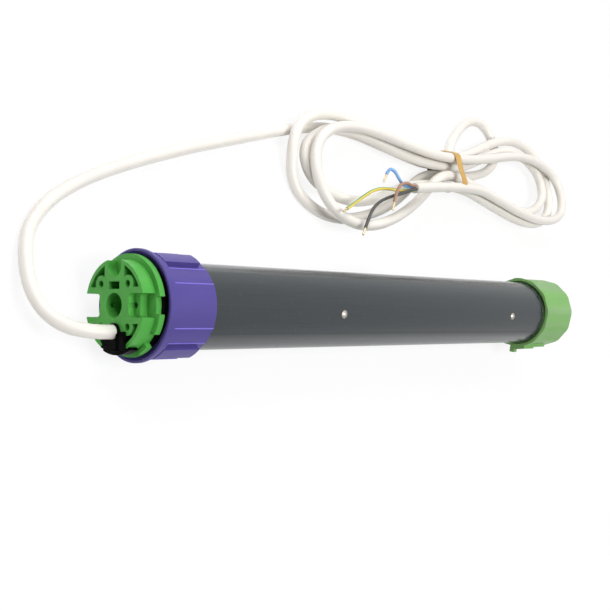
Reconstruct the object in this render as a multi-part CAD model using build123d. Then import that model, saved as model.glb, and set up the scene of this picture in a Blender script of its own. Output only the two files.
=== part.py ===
from build123d import *
import os
from math import acos, ceil, cos, degrees, dist, pi, radians, sin, tan

# Tubular roller blind motor with its mains cable. Sizes are in millimetres.
# The origin is the centre of the head's front face. +X runs along the motor to
# the drive wheel, and +Z points up, away from the surface that the motor lies on.
# Angles about the axis are seen from the head, from its slot upwards, and the
# head lies turned on that surface by head_roll.
head_roll = 14.0

# Motor tube
tube_radius = 23.5
tube_wall = 1.5
tube_start = 37.2
tube_end = 387.0
tail_notch_width = 3.2
tail_notch_depth = 3.6
tail_notch_angles = (4, 28, 50, -50, 130, 180, 230)
fit = 0.05
run = 0.06
free_gap = 0.3
overrun = 5.0

# Rivets that hold the motor and the gearbox in the tube
shield_rivet_inset = 6.5
gearbox_rivet_inset = 15.9
rivet_count = 3
rivet_angle = -8.0
rivet_head_radius = 2.5
rivet_head_height = 1.1
rivet_shank_radius = 1.4
rivet_shank_length = 3.5

# Head moulding
head_radius = 23.5
head_body_length = 8.0
rim_radius = 26.5
rim_length = 3.3
spigot_radius = 20.3
spigot_length = 13.0
bore_radius = 6.3
bore_depth = 13.0
dimple_radius = 1.2
dimple_depth = 3.7
slot_width = 8.6
slot_height = 3.8
slot_offset = 10.1
slot_depth = 11.0
screw_pitch_radius = 15.3
screw_hole_radius = 1.85
screw_hole_depth = 20.0
screw_boss_radius = 4.3
pocket_radius = 21.5
pocket_inner_edge = 7.9
pocket_low_edge = 9.2
pocket_depth = 6.5
cable_groove_half_width = 5.6
cable_groove_floor = 14.5
cable_groove_depth = 5.6
side_channel_half_width = 6.0
side_channel_start = 11.8
right_channel_depth = 3.5
right_channel_step = 16.6
channel_corner = 2.0
rim_gap_half_angle = 10.0
rim_gap_angles = (0, -42.5, 180)
rim_gap_narrow_half_angle = 9.5

# Cable plug in the head, and the clip that holds it
plug_left = -8.8
plug_right = 9.8
plug_top = -13.2
plug_start = -1.2
plug_end = 10.0
snout_centre = (1.0, -13.4)
snout_radius = 4.4
snout_start = -1.6
plug_rib_width = 1.2
plug_rib_depth = 0.7
clip_thickness = 1.7
clip_start = 1.2
clip_length = 4.6
clip_angle = -88.0
clip_sweep = 84.0
contact_radius = 0.9
contact_length = 6.0
contact_spacing = 3.6
contact_row_height = -19.0

# Neck sleeve that the crown turns on
neck_lip_radius = 24.8
neck_lip_length = 0.9
neck_land_radius = 24.0
neck_land_end = 28.9
neck_rear_radius = 22.6
neck_end = 44.0
neck_bore_radius = spigot_radius + fit
pinion_window_clearance = 0.5

# Crown
crown_start = 12.5
crown_end = 46.0
crown_flange_radius = 29.5
crown_flange_length = 2.3
crown_step_radius = 28.6
crown_step_end = 17.7
crown_body_radius = 26.8
crown_edge = 0.8
crown_bevel_depth = 2.6
crown_bevel_wall = 1.3
crown_pad_radius = 28.0
crown_pad_half_angle = 24.7
crown_pad_end = 44.5
crown_tab_radius = 28.9
crown_tab_half_angle = 9.0
crown_tab_end = 41.5
crown_groove_radius = 26.0
crown_groove_half_angle = 14.0
crown_lobes = 3
crown_teeth_start = 29.2
crown_teeth_end = 36.9
crown_rear_gap = 0.35

# Gear teeth
pressure_angle = 20.0
tooth_height_share = 0.8
tooth_foot_share = 1.0
tooth_play = 0.14

# Limit switch gears
crown_module = 1.0
crown_teeth = 48
pinion_teeth = 12
train_module = 0.5
small_teeth = 12
wheel_teeth = 60
centre_teeth = 20
spindle_teeth = 32
pinion_angle = 90.0
gear_width = 3.0
pinion_width = 6.6
limit_shaft_radius = 1.5
layshaft_radius = 2.0
spindle_radius = 2.0
spindle_angles = {"up": 0.0, "down": 180.0}

# Limit switch frame, nuts and switches
bridge_start = 38.6
plate_thickness = 2.0
front_plate_start = 44.5
rear_plate_start = 80.0
spindle_gear_start = 47.5
wheel_gear_start = 83.2
limit_shaft_end = 88.0
post_radius = 1.6
post_place_radius = 18.6
post_angles = (45, 135, 270)
guide_radius = 1.0
guide_place_radius = 19.0
nut_length = 5.0
nut_middle = 65.5
nut_inner = 9.0
nut_outer = 20.4
nut_half_height = 3.4
nut_tab_width = 3.0
nut_tab_reach = 6.6
switch_inner = 5.5
switch_outer = 15.5
switch_top = -8.8
switch_bottom = -14.2
switch_length = 12.0
plunger_radius = 0.8
plunger_tip = -7.0
plunger_root = -10.5
plunger_inset = 3.5
plunger_travel = 0.6

# Limit adjusting screws
adjuster_radius = 1.7
adjuster_up_start = 4.6
adjuster_down_start = 12.2
adjuster_slot_width = 0.7
adjuster_slot_depth = 1.2

# Capacitor and its holder
capacitor_start = 94.0
capacitor_length = 42.0
capacitor_radius = 16.0
holder_wall = 2.0
holder_grip = 7.0
lead_radius = 0.6
lead_length = 4.0
lead_spacing = 7.0

# Motor
shield_start = 146.0
shield_length = 12.0
shield_floor = 5.0
shield_skirt = 1.9
stator_start = 158.0
stator_length = 80.0
stator_bore_radius = 12.65
stator_slots = 12
stator_slot_inner = 14.2
stator_slot_outer = 19.2
stator_slot_half_angle = 8.0
stator_tooth_tip_gap = 0.9
end_turn_length = 4.6
end_turn_inner = 13.6
end_turn_outer = 19.6
winding_gap = 0.15
rotor_radius = 12.3
rotor_margin = 2.0
shaft_radius = 4.0
shaft_start = 146.4
bearing_radius = 8.0
bearing_width = 4.4

# Brake
brake_length = 14.0
brake_bore_radius = 6.5
spring_pocket_inner = 8.0
spring_pocket_outer = 12.0
spring_pocket_depth = 8.0
spring_wire = 1.2
spring_curls = 5
armature_gap = 0.45
armature_thickness = 3.0
armature_radius = 20.0
guide_pin_radius = 1.2
guide_pin_place_radius = 16.0
guide_pin_count = 3
brake_disc_radius = 18.5
brake_disc_thickness = 3.0
brake_face_gap = 0.15

# Planetary gearbox
gear_module = 0.7
sun_teeth = 12
planet_teeth = 21
ring_teeth = 54
planet_count = 3
planet_widths = (11.0, 11.0, 13.0)
stage_gap = 1.0
carrier_thicknesses = (3.0, 3.0, 4.5)
carrier_radius = 15.6
planet_pin_radius = 1.9
cover_thickness = 5.0
cover_bore_radius = 5.6

# Output shaft, its bearing, the end flange and the drive wheel
output_radius = 8.0
output_bearing_length = 29.0
end_flange_start = 372.0
end_flange_rim = 1.4
end_flange_rim_radius = 22.9
end_flange_wall = 3.0
wheel_start = 388.9
wheel_length = 38.6
wheel_sides = 12
wheel_radius = 26.5
wheel_turn = 1.0
wheel_rim_radius = 27.2
wheel_corner = 0.4
wheel_rim_length = 4.6
wheel_recess_radius = 24.6
wheel_recess_depth = 2.6
wheel_wall = 3.2
wheel_web = 4.0
wheel_web_thickness = 2.2
wheel_web_count = 6
hub_radius = 11.0
key_angle = -86.0
key_width = 9.0
key_radius = 28.6
key_length = 14.0
key_tail_radius = 27.4
key_tail_length = 31.0
hook_angle = -99.0
hook_width = 3.6
hook_radius = 31.2
hook_length = 4.4
drive_radius = 7.0
drive_flats = 10.0
drive_start = 392.0
clip_groove_depth = 1.0
clip_ring_radius = 8.6
clip_ring_width = 1.2
clip_ring_gap_angle = 80.0
clip_inset = 3.0
shaft_tail = 1.6

# Mains cable: radius, and the route of its free run from the plug to the hank.
# The first two points are in line with the plug's snout.
cable_radius = 3.75
cable_bend_share = 0.45
surface_level = -crown_flange_radius
lie = surface_level + cable_radius
cable_route = [
    (snout_start, -13.24, -2.27),
    (-8.5, -13.24, -2.27),
    (-16.9, -12.1, -3.8),
    (-24.6, -9.2, -7.3),
    (-30.4, -3.6, -11.2),
    (-33.8, 4.2, -14.9),
    (-34.8, 13.0, -18.2),
    (-33.8, 22.6, -21.3),
    (-31.2, 34.6, -24.0),
    (-26.8, 46.6, lie),
    (-17.3, 58.2, lie),
    (-4.5, 67.8, lie),
    (13.0, 77.2, lie),
    (36.4, 86.9, lie),
    (63.0, 96.0, lie),
    (92.0, 105.2, lie),
    (121.0, 113.4, lie),
    (150.0, 121.3, lie),
    (177.0, 128.9, lie),
    (203.0, 135.0, lie),
    (230.5, 138.9, lie),
    (257.5, 138.5, lie),
    (284.73, 133.7, lie + 0.4),
    (308.73, 129.1, lie + 0.95),
]

# Hank: loops of the same cable, drawn in at a waist that the band holds.
# Each lobe leaves the waist at one strand place and comes back at another.
# A lobe's reach and half width are shares of hank_reach and hank_half_width.
hank_centre = (353.0, 117.0)
hank_turn = 2.0
hank_reach = 174.0
hank_half_width = 40.0
waist_half_length = 20.0
strand_step = 8.2
nest_step = 10.1
layer_step = 8.15
lobe_profile_shares = (
    (0.34, 0.60, 1.0),
    (0.58, 0.93, 1.0),
    (0.78, 1.0, 1.0),
    (0.93, 0.76, 1.0),
    (1.0, 0.30, 0.3),
)
hank_lobes = [
    {"side": 0, "reach": 0.62, "width": 0.56, "inset": 0, "lean": 23, "out": (1.0, 0), "back": (0.0, 0)},
    {"side": 180, "reach": 1.0, "width": 0.94, "inset": 0, "lean": 2, "out": (0.0, 0), "back": (1.5, 1)},
    {"side": 0, "reach": 0.94, "width": 0.96, "inset": 0, "lean": 0, "out": (1.5, 1), "back": (-1.5, 1)},
    {"side": 180, "reach": 1.0, "width": 0.94, "inset": 1, "lean": 2, "out": (-1.5, 1), "back": (0.5, 1)},
    {"side": 0, "reach": 0.94, "width": 0.96, "inset": 1, "lean": 0, "out": (0.5, 1), "back": (-0.5, 1)},
    {"side": 180, "reach": 0.95, "width": 0.92, "inset": 0, "lean": 7, "out": (-0.7, 2), "back": (1.0, 2)},
    {"side": 0, "reach": 0.98, "width": 0.72, "inset": 0, "lean": -4, "out": (1.0, 2), "back": (-1.5, 2)},
]
jacket_end = {"along": -77.0, "strand": -3.1, "layer": 3.66}

# Rubber band round the waist
band_width = 7.0
band_thickness = 1.2
band_gap = 0.3

# Cable cores, from the jacket's end to their bare tips. Each route is that of the
# middle of one core, whose first run is in line with the jacket.
core_radius = 1.15
core_tip_radius = 0.75
core_tip_length = 6.0
core_routes = {
    "earth": [
        (277.0, 87.55, 2.74),
        (272.1, 86.7, 3.35),
        (264.0, 87.0, 0.0),
        (255.5, 89.0, -3.6),
        (245.5, 88.5, -6.6),
        (232.0, 82.5, -7.2),
        (218.0, 75.5, -5.2),
        (205.0, 69.5, -3.0),
    ],
    "black": [
        (277.3, 87.61, 5.42),
        (272.4, 86.8, 6.04),
        (264.0, 84.2, 3.6),
        (255.5, 82.6, 0.0),
        (246.0, 79.5, -2.5),
        (235.0, 74.0, -2.2),
        (226.0, 66.5, -1.0),
        (219.5, 57.0, -1.8),
    ],
    "brown": [
        (276.83, 90.27, 5.42),
        (271.96, 89.44, 6.04),
        (265.0, 90.5, 7.2),
        (258.5, 89.5, 6.8),
        (254.0, 84.5, 4.8),
        (252.6, 77.0, 2.0),
    ],
    "blue": [
        (276.54, 90.21, 2.74),
        (271.65, 89.38, 3.35),
        (266.0, 90.6, 2.4),
        (261.5, 94.8, 3.2),
        (258.6, 100.0, 3.2),
        (254.0, 102.0, 2.0),
        (252.2, 97.8, 0.2),
    ],
}


def face(x):
    """Plane square to the axis at x, seen from the head, with the head's slot upwards."""
    turn = radians(head_roll)
    return Plane(origin=(x, 0, 0), x_dir=(0, -sin(turn), cos(turn)), z_dir=(-1, 0, 0))


def along(sketch, start, end):
    """Solid of a face sketch that runs from start to end along the axis."""
    return extrude(face(start) * sketch, amount=start - end)


def ring(outer, inner, start, end):
    """Ring or, with no inner radius, a disc about the motor axis."""
    shape = Circle(outer) - Circle(inner) if inner else Circle(outer)
    return along(shape, start, end)


def at_angle(radius, angle):
    """Place on a face at a radius and an angle in degrees."""
    return (radius * cos(radians(angle)), radius * sin(radians(angle)))


def rod(radius, place, start, end):
    """Rod parallel to the axis at a place on the face."""
    return along(Pos(*place) * Circle(radius), start, end)


def sector(outer, inner, middle, half_angle):
    """Sketch of a ring sector round the axis."""
    reach = 2 * outer
    first = at_angle(reach, middle - half_angle)
    centre = at_angle(reach, middle)
    last = at_angle(reach, middle + half_angle)
    wedge = make_face(Polyline((0, 0), first, centre, last, (0, 0)))
    return (Circle(outer) - Circle(inner)) & wedge


def turned(points):
    """Solid of revolution about the axis from (x, radius) points."""
    outline = Polyline(*[(x, radius) for x, radius in points], close=True)
    return revolve(Plane.XY * make_face(outline), Axis.X)


def box_on_face(left, right, low, high, start, end):
    """Block given by its sides on the face and its two ends."""
    middle = Pos((left + right) / 2, (low + high) / 2)
    return along(middle * Rectangle(right - left, high - low), start, end)


def involute(angle):
    return tan(angle) - angle


def toothed_outline(teeth, module, inner, outer, widening, turn):
    """Closed outline whose teeth run from inner to outer, with the flanks of involute teeth."""
    pitch_radius = module * teeth / 2
    pressure = radians(pressure_angle)
    base_radius = pitch_radius * cos(pressure)
    half_pitch_angle = pi / (2 * teeth) + widening / (2 * pitch_radius)

    def half_angle(radius):
        roll = acos(min(1, base_radius / radius))
        return half_pitch_angle + involute(pressure) - involute(roll)

    points = []
    for index in range(teeth):
        middle = radians(turn) + 2 * pi * index / teeth
        for radius, side in ((inner, -1), (outer, -1), (outer, 1), (inner, 1)):
            angle = middle + side * half_angle(radius)
            points.append((radius * cos(angle), radius * sin(angle)))
    return make_face(Polyline(*points, close=True))


def gear(teeth, module, turn=0.0):
    """Sketch of an external gear about its own centre, turned by degrees."""
    pitch_radius = module * teeth / 2
    inner = pitch_radius - tooth_foot_share * module
    outer = pitch_radius + tooth_height_share * module
    return toothed_outline(teeth, module, inner, outer, -tooth_play, turn)


def gear_hole(teeth, module, turn=0.0):
    """Sketch of the hole in an internal gear, turned by degrees."""
    pitch_radius = module * teeth / 2
    inner = pitch_radius - tooth_height_share * module
    outer = pitch_radius + tooth_foot_share * module
    return toothed_outline(teeth, module, inner, outer, tooth_play, turn)


def meshed_turn(direction, teeth, turn, other_teeth):
    """Turn of a gear that meshes with another, seen in a direction from that other's centre."""
    return direction + 180 - 180 / other_teeth + (direction - turn) * teeth / other_teeth


def meshed_turn_inside(direction, teeth, turn, other_teeth):
    """Turn of a gear that meshes inside an internal gear, towards a direction."""
    return direction - (direction - turn) * teeth / other_teeth


# Places that several pieces share
tube_bore_radius = tube_radius - tube_wall
inner_fit_radius = tube_bore_radius - fit
rim_end = head_body_length + rim_length
spigot_end = rim_end + spigot_length
pinion_place_radius = crown_module * (crown_teeth - pinion_teeth) / 2
spindle_place_radius = train_module * (centre_teeth + spindle_teeth) / 2
pinion_place = at_angle(pinion_place_radius, pinion_angle)
wheel_end = wheel_start + wheel_length
rear_shield_start = stator_start + stator_length
brake_start = rear_shield_start + shield_length
armature_start = brake_start + brake_length + armature_gap
brake_disc_start = armature_start + armature_thickness + brake_face_gap / 2
cover_start = brake_disc_start + brake_disc_thickness + brake_face_gap
gearbox_start = cover_start + cover_thickness
sun_radius = gear_module * sun_teeth / 2
planet_place_radius = gear_module * (sun_teeth + planet_teeth) / 2


def stage_place(stage):
    """Start of a stage's planets along the axis."""
    start = gearbox_start + stage_gap
    for before in range(stage):
        start += planet_widths[before] + carrier_thicknesses[before] + 2 * stage_gap
    return start


def carrier_place(stage):
    """Start of the carrier plate behind a stage's planets."""
    return stage_place(stage) + planet_widths[stage] + stage_gap


gearbox_end = carrier_place(2) + carrier_thicknesses[2] + stage_gap / 2
rivet_places = (shield_start + shield_rivet_inset, gearbox_end + gearbox_rivet_inset)


def make_motor_tube():
    tube = ring(tube_radius, tube_bore_radius, tube_start, tube_end)
    for place in rivet_places:
        for index in range(rivet_count):
            tube -= rivet_shank(place, index, rivet_shank_radius + run)
    for angle in tail_notch_angles:
        half_angle = degrees(tail_notch_width / tube_radius) / 2
        notch = sector(tube_radius + overrun, tube_bore_radius - tube_wall, angle, half_angle)
        tube -= along(notch, tube_end - tail_notch_depth, tube_end + overrun)
    return tube


def rivet_plane(place, index, radius):
    """Plane whose normal points outwards through a rivet."""
    angle = rivet_angle + index * 360 / rivet_count
    turn = radians(head_roll)
    up = Vector(0, -sin(turn), cos(turn))
    side = Vector(0, cos(turn), sin(turn))
    outwards = up * cos(radians(angle)) + side * sin(radians(angle))
    return Plane(origin=outwards * radius + Vector(place, 0, 0), x_dir=(1, 0, 0), z_dir=outwards)


def rivet_shank(place, index, radius):
    plane = rivet_plane(place, index, tube_radius + tube_wall)
    return extrude(plane * Circle(radius), amount=-rivet_shank_length - tube_wall)


def make_tube_rivets():
    rivets = []
    for place in rivet_places:
        for index in range(rivet_count):
            base = rivet_plane(place, index, tube_radius)
            shank = extrude(base * Circle(rivet_shank_radius), amount=-rivet_shank_length)
            sphere_radius = (rivet_head_radius**2 + rivet_head_height**2) / (2 * rivet_head_height)
            dome = base.offset(rivet_head_height - sphere_radius) * Sphere(sphere_radius)
            head = dome & extrude(base * Circle(rivet_head_radius), amount=2 * rivet_head_height)
            skirt = extrude(base * Circle(rivet_shank_radius), amount=rivet_head_height / 2)
            rivets.append(head + skirt + shank)
    return rivets


def plug_outline(gap):
    """Outline of the cable plug on the face, grown by a gap."""
    left = plug_left - gap
    right = plug_right + gap
    top = plug_top + gap
    low = -head_radius - overrun
    block = Pos((left + right) / 2, (top + low) / 2) * Rectangle(right - left, top - low)
    return block + Pos(*snout_centre) * Circle(snout_radius + gap)


def head_pocket(side_x, side_y):
    """Lightening pocket round one screw boss of the head."""
    boss_offset = screw_pitch_radius * cos(radians(45))
    left = side_x * pocket_inner_edge
    corner = Pos(left + side_x * head_radius / 2, side_y * (pocket_low_edge + head_radius / 2))
    pocket = Circle(pocket_radius) & (corner * Rectangle(head_radius, head_radius))
    return pocket - Pos(side_x * boss_offset, side_y * boss_offset) * Circle(screw_boss_radius)


def make_head_housing():
    """Green moulding that plugs into the neck and takes the bracket, the plug and the screws."""
    body = ring(head_radius, 0, 0, head_body_length)
    body += ring(rim_radius, 0, head_body_length, rim_end)
    body += ring(spigot_radius, 0, rim_end, spigot_end)
    # Rim gaps, with the head's channels running out through them
    for angle in rim_gap_angles:
        half_angle = rim_gap_half_angle if angle in (0, 180) else rim_gap_narrow_half_angle
        gap = sector(rim_radius + overrun, head_radius, angle, half_angle)
        body -= along(gap, head_body_length - overrun, rim_end + overrun)
    # Central bore with a dimple in its wall, and the slot above it
    body -= ring(bore_radius, 0, -overrun, bore_depth)
    dimple = Plane(origin=(dimple_depth, 0, 0), x_dir=(1, 0, 0), z_dir=face(0).x_dir)
    body -= extrude(dimple * Circle(dimple_radius), amount=-bore_radius - dimple_radius)
    body -= along(Pos(0, slot_offset) * Rectangle(slot_width, slot_height), -overrun, slot_depth)
    # Screw holes and the pockets round their bosses
    for side_x in (-1, 1):
        for side_y in (-1, 1):
            boss_offset = screw_pitch_radius * cos(radians(45))
            hole = (side_x * boss_offset, side_y * boss_offset)
            body -= rod(screw_hole_radius, hole, -overrun, screw_hole_depth)
            body -= along(head_pocket(side_x, side_y), -overrun, pocket_depth)
    # Cable groove at the top
    groove_middle = cable_groove_floor + cable_groove_half_width
    groove = Pos(0, groove_middle) * Circle(cable_groove_half_width)
    groove += Pos(0, groove_middle + head_radius / 2) * Rectangle(2 * cable_groove_half_width, head_radius)
    body -= along(groove, -overrun, cable_groove_depth)
    # Left channel, cut right through the front, and right channel with its two floors
    channel = RectangleRounded(head_radius, 2 * side_channel_half_width, channel_corner)
    left_channel = Pos(-side_channel_start - head_radius / 2, 0) * channel
    body -= along(left_channel, -overrun, rim_end)
    right_channel = Pos(side_channel_start + head_radius / 2, 0) * channel
    body -= along(right_channel, -overrun, right_channel_depth)
    outer_channel = Pos(right_channel_step + head_radius / 2, 0) * channel
    body -= along(outer_channel, -overrun, head_body_length)
    # Bores of the two adjusting screws
    for angle in spindle_angles.values():
        place = at_angle(spindle_place_radius, angle)
        body -= rod(adjuster_radius + run, place, -overrun, spigot_end + overrun)
    # Seat of the cable plug
    body -= along(plug_outline(fit), -overrun, plug_end + fit)
    return body


def make_cable_plug():
    block = along(plug_outline(0) & Circle(head_radius), plug_start, plug_end)
    block = block + rod(snout_radius, snout_centre, snout_start, plug_start)
    # Grip ribs across the plug's front
    for row in range(4):
        height = plug_top - (2 * row + 1.5) * plug_rib_width
        rib = Pos((plug_left + plug_right) / 2, height) * Rectangle(plug_right - plug_left, plug_rib_width)
        clear = rib - Pos(*snout_centre) * Circle(snout_radius + plug_rib_width)
        block -= along(clear, plug_start - overrun, plug_start + plug_rib_depth)
    for index in range(4):
        place = contact_place(index)
        block -= rod(contact_radius, place, plug_end - contact_length / 2, plug_end + overrun)
    return block


def contact_place(index):
    return (snout_centre[0] + (index - 1.5) * contact_spacing, contact_row_height)


def make_plug_contacts():
    """Four contact pins that stand in the back of the plug."""
    start = plug_end - contact_length / 2
    return [rod(contact_radius, contact_place(index), start, plug_end + fit / 2) for index in range(4)]


def make_plug_clip():
    """Black strap that lies round the underside of the head and holds the plug in."""
    strap = sector(head_radius + clip_thickness, head_radius, clip_angle, clip_sweep / 2)
    clip = along(strap, clip_start, clip_start + clip_length)
    # Hooked ends, which stand a little higher than the strap
    for end in (-1, 1):
        middle = clip_angle + end * (clip_sweep / 2 - degrees(clip_thickness / head_radius))
        half_angle = degrees(clip_thickness / head_radius)
        hook = sector(head_radius + 1.5 * clip_thickness, head_radius, middle, half_angle)
        clip += along(hook, clip_start, clip_start + clip_length)
    return clip


def make_neck_sleeve():
    points = [
        (rim_end, neck_bore_radius),
        (rim_end, neck_lip_radius),
        (rim_end + neck_lip_length, neck_lip_radius),
        (rim_end + neck_lip_length, neck_land_radius),
        (neck_land_end, neck_land_radius),
        (neck_land_end, neck_rear_radius),
        (tube_start, neck_rear_radius),
        (tube_start, inner_fit_radius),
        (neck_end, inner_fit_radius),
        (neck_end, neck_bore_radius),
    ]
    sleeve = turned(points)
    # Window through which the limit pinion reaches the crown's teeth
    pinion_radius = crown_module * pinion_teeth / 2 + tooth_height_share * crown_module
    window_radius = pinion_radius + pinion_window_clearance
    return sleeve - rod(window_radius, pinion_place, neck_land_end, tube_start)


def make_crown():
    """Violet crown that the roller tube turns, with the internal teeth of the limit drive."""
    bore = neck_land_radius + run
    rear_bore = tube_radius + crown_rear_gap
    bevel_radius = crown_flange_radius - crown_bevel_wall
    points = [
        (crown_start, bevel_radius),
        (crown_start, crown_flange_radius - crown_edge / 2),
        (crown_start + crown_edge / 2, crown_flange_radius),
        (crown_start + crown_flange_length, crown_flange_radius),
        (crown_start + crown_flange_length, crown_step_radius),
        (crown_step_end, crown_step_radius),
        (crown_step_end + crown_edge, crown_body_radius),
        (crown_end - crown_edge, crown_body_radius),
        (crown_end, crown_body_radius - crown_edge),
        (crown_end, rear_bore),
        (crown_teeth_end, rear_bore),
        (crown_teeth_end, bore),
        (crown_start + crown_bevel_depth, bore),
        (crown_start + crown_bevel_depth, bore + crown_edge),
    ]
    crown = turned(points)
    for lobe in range(crown_lobes):
        middle = lobe * 360 / crown_lobes
        pad = sector(crown_pad_radius, crown_body_radius - crown_edge, middle, crown_pad_half_angle)
        crown += along(pad, crown_step_end, crown_pad_end)
        tab_middle = middle + 180 / crown_lobes
        groove = sector(crown_tab_radius, crown_groove_radius, tab_middle, crown_groove_half_angle)
        crown -= along(groove, crown_step_end + crown_edge, crown_end + overrun)
        tab = sector(crown_tab_radius, crown_groove_radius - crown_edge, tab_middle, crown_tab_half_angle)
        crown += along(tab, crown_step_end, crown_tab_end)
    # Internal teeth, standing inwards of the bore
    band = ring(bore + crown_edge, 0, crown_teeth_start, crown_teeth_end)
    crown += band - along(gear_hole(crown_teeth, crown_module), crown_teeth_start, crown_teeth_end)
    teeth_room = gear_hole(crown_teeth, crown_module)
    return crown - along(teeth_room, crown_teeth_start, crown_teeth_end)


def limit_turns():
    """Turns, in degrees, at which the gears of the limit drive are in mesh at rest."""
    pinion = meshed_turn_inside(pinion_angle, crown_teeth, 0, pinion_teeth)
    wheel = meshed_turn(pinion_angle + 180, small_teeth, pinion, wheel_teeth)
    spindles = {}
    for name, angle in spindle_angles.items():
        spindles[name] = meshed_turn(angle, centre_teeth, wheel, spindle_teeth)
    return pinion, wheel, spindles


def make_limit_pinion():
    pinion_turn = limit_turns()[0]
    crown_pinion = Pos(*pinion_place) * gear(pinion_teeth, crown_module, pinion_turn)
    small_pinion = Pos(*pinion_place) * gear(small_teeth, train_module, pinion_turn)
    start = crown_teeth_start + free_gap
    shaft = rod(limit_shaft_radius, pinion_place, start - free_gap, limit_shaft_end)
    shaft += along(crown_pinion, start, start + pinion_width)
    return shaft + along(small_pinion, wheel_gear_start, wheel_gear_start + gear_width)


def make_limit_layshaft():
    wheel_turn_angle = limit_turns()[1]
    shaft = ring(layshaft_radius, 0, front_plate_start + free_gap, limit_shaft_end - free_gap)
    centre = gear(centre_teeth, train_module, wheel_turn_angle)
    shaft += along(centre, spindle_gear_start, spindle_gear_start + gear_width)
    wheel = gear(wheel_teeth, train_module, wheel_turn_angle)
    return shaft + along(wheel, wheel_gear_start, wheel_gear_start + gear_width)


def make_limit_spindle(name):
    place = at_angle(spindle_place_radius, spindle_angles[name])
    turn = limit_turns()[2][name]
    spindle = rod(spindle_radius, place, front_plate_start, rear_plate_start + plate_thickness)
    teeth = Pos(*place) * gear(spindle_teeth, train_module, turn)
    return spindle + along(teeth, spindle_gear_start, spindle_gear_start + gear_width)


def make_limit_nut(name):
    """Travelling nut with its guide hole and the tab that reaches for the switch."""
    side = cos(radians(spindle_angles[name]))
    edges = sorted((side * nut_inner, side * nut_outer))
    start = nut_middle - nut_length / 2
    end = nut_middle + nut_length / 2
    nut = box_on_face(*edges, -nut_half_height, nut_half_height, start, end)
    tab_middle = side * (switch_inner + switch_outer) / 2
    tab_edges = (tab_middle - nut_tab_width / 2, tab_middle + nut_tab_width / 2)
    nut += box_on_face(*tab_edges, -nut_tab_reach, -nut_half_height, start, end)
    nut -= rod(spindle_radius + run, (side * spindle_place_radius, 0), start - overrun, end + overrun)
    return nut - rod(guide_radius + run, (side * guide_place_radius, 0), start - overrun, end + overrun)


def make_limit_frame():
    """Two plates and a bridge on posts, which carry the shafts and the nuts' guide rods."""
    rear_end = rear_plate_start + plate_thickness
    plates = ring(spigot_radius, 0, bridge_start, bridge_start + plate_thickness)
    plates += ring(inner_fit_radius, 0, front_plate_start, front_plate_start + plate_thickness)
    plates += ring(inner_fit_radius, 0, rear_plate_start, rear_end)
    for angle in post_angles:
        plates += rod(post_radius, at_angle(post_place_radius, angle), bridge_start, rear_end)
    for angle in spindle_angles.values():
        place = at_angle(spindle_place_radius, angle)
        plates -= rod(adjuster_radius + run, place, bridge_start - overrun, bridge_start + overrun)
        plates -= rod(spindle_radius + run, place, front_plate_start - fit, rear_end + overrun)
        guide_place = at_angle(guide_place_radius, angle)
        plates += rod(guide_radius, guide_place, front_plate_start + plate_thickness, rear_plate_start)
        relief = Pos(*place) * Circle(train_module * spindle_teeth / 2 + free_gap + train_module)
        plates -= along(relief, spindle_gear_start - free_gap, spindle_gear_start + gear_width + free_gap)
    plates -= rod(limit_shaft_radius + run, pinion_place, bridge_start - overrun, rear_end + overrun)
    plates -= ring(layshaft_radius + run, 0, front_plate_start - overrun / 2, rear_end + overrun)
    return plates


def plunger_place(name):
    """Middle of a switch plunger along the axis."""
    if name == "up":
        return rear_plate_start - plunger_inset
    return front_plate_start + plate_thickness + switch_length + gear_width - plunger_inset - gear_width


def switch_span(name):
    if name == "up":
        return rear_plate_start - switch_length, rear_plate_start
    start = front_plate_start + plate_thickness
    return start, start + switch_length


def plunger_rod(name, radius, low, high):
    """Rod across the axis at a switch's plunger, between two heights on the face."""
    side = cos(radians(spindle_angles[name]))
    base = face(plunger_place(name))
    middle = base.origin + base.x_dir * side * (switch_inner + switch_outer) / 2 + base.y_dir * low
    plane = Plane(origin=middle, x_dir=(1, 0, 0), z_dir=base.y_dir)
    return extrude(plane * Circle(radius), amount=high - low)


def make_limit_switch(name):
    side = cos(radians(spindle_angles[name]))
    edges = sorted((side * switch_inner, side * switch_outer))
    body = box_on_face(*edges, switch_bottom, switch_top, *switch_span(name))
    room = plunger_travel + free_gap
    return body - plunger_rod(name, plunger_radius + run, plunger_root - room, switch_top + overrun)


def make_switch_plunger(name):
    return plunger_rod(name, plunger_radius, plunger_root, plunger_tip)


def make_limit_adjuster(name):
    """Setting screw that is turned through the head, with a slot in its front."""
    place = at_angle(spindle_place_radius, spindle_angles[name])
    start = adjuster_up_start if name == "up" else adjuster_down_start
    screw = rod(adjuster_radius, place, start, front_plate_start - free_gap)
    slot = Pos(*place) * Rectangle(2 * adjuster_radius + overrun, adjuster_slot_width)
    return screw - along(slot, start - overrun, start + adjuster_slot_depth)


def make_capacitor():
    end = capacitor_start + capacitor_length
    can = ring(capacitor_radius, 0, capacitor_start, end)
    for side in (-1, 1):
        can += rod(lead_radius, (0, side * lead_spacing / 2), capacitor_start - lead_length, capacitor_start)
    return can


def make_capacitor_holder():
    """Two spoked rings joined by rails, which centre the capacitor in the tube."""
    end = capacitor_start + capacitor_length
    grip = ring(capacitor_radius + holder_wall, capacitor_radius, capacitor_start, end)
    grip &= ring(tube_radius, 0, capacitor_start, capacitor_start + holder_grip) + ring(
        tube_radius, 0, end - holder_grip, end
    )
    rails = None
    for angle in post_angles:
        spoke = sector(inner_fit_radius, capacitor_radius + holder_wall / 2, angle, rim_gap_half_angle)
        rail = along(spoke, capacitor_start, end) - ring(capacitor_radius, 0, capacitor_start, end)
        rails = rail if rails is None else rails + rail
    return grip + rails


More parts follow.
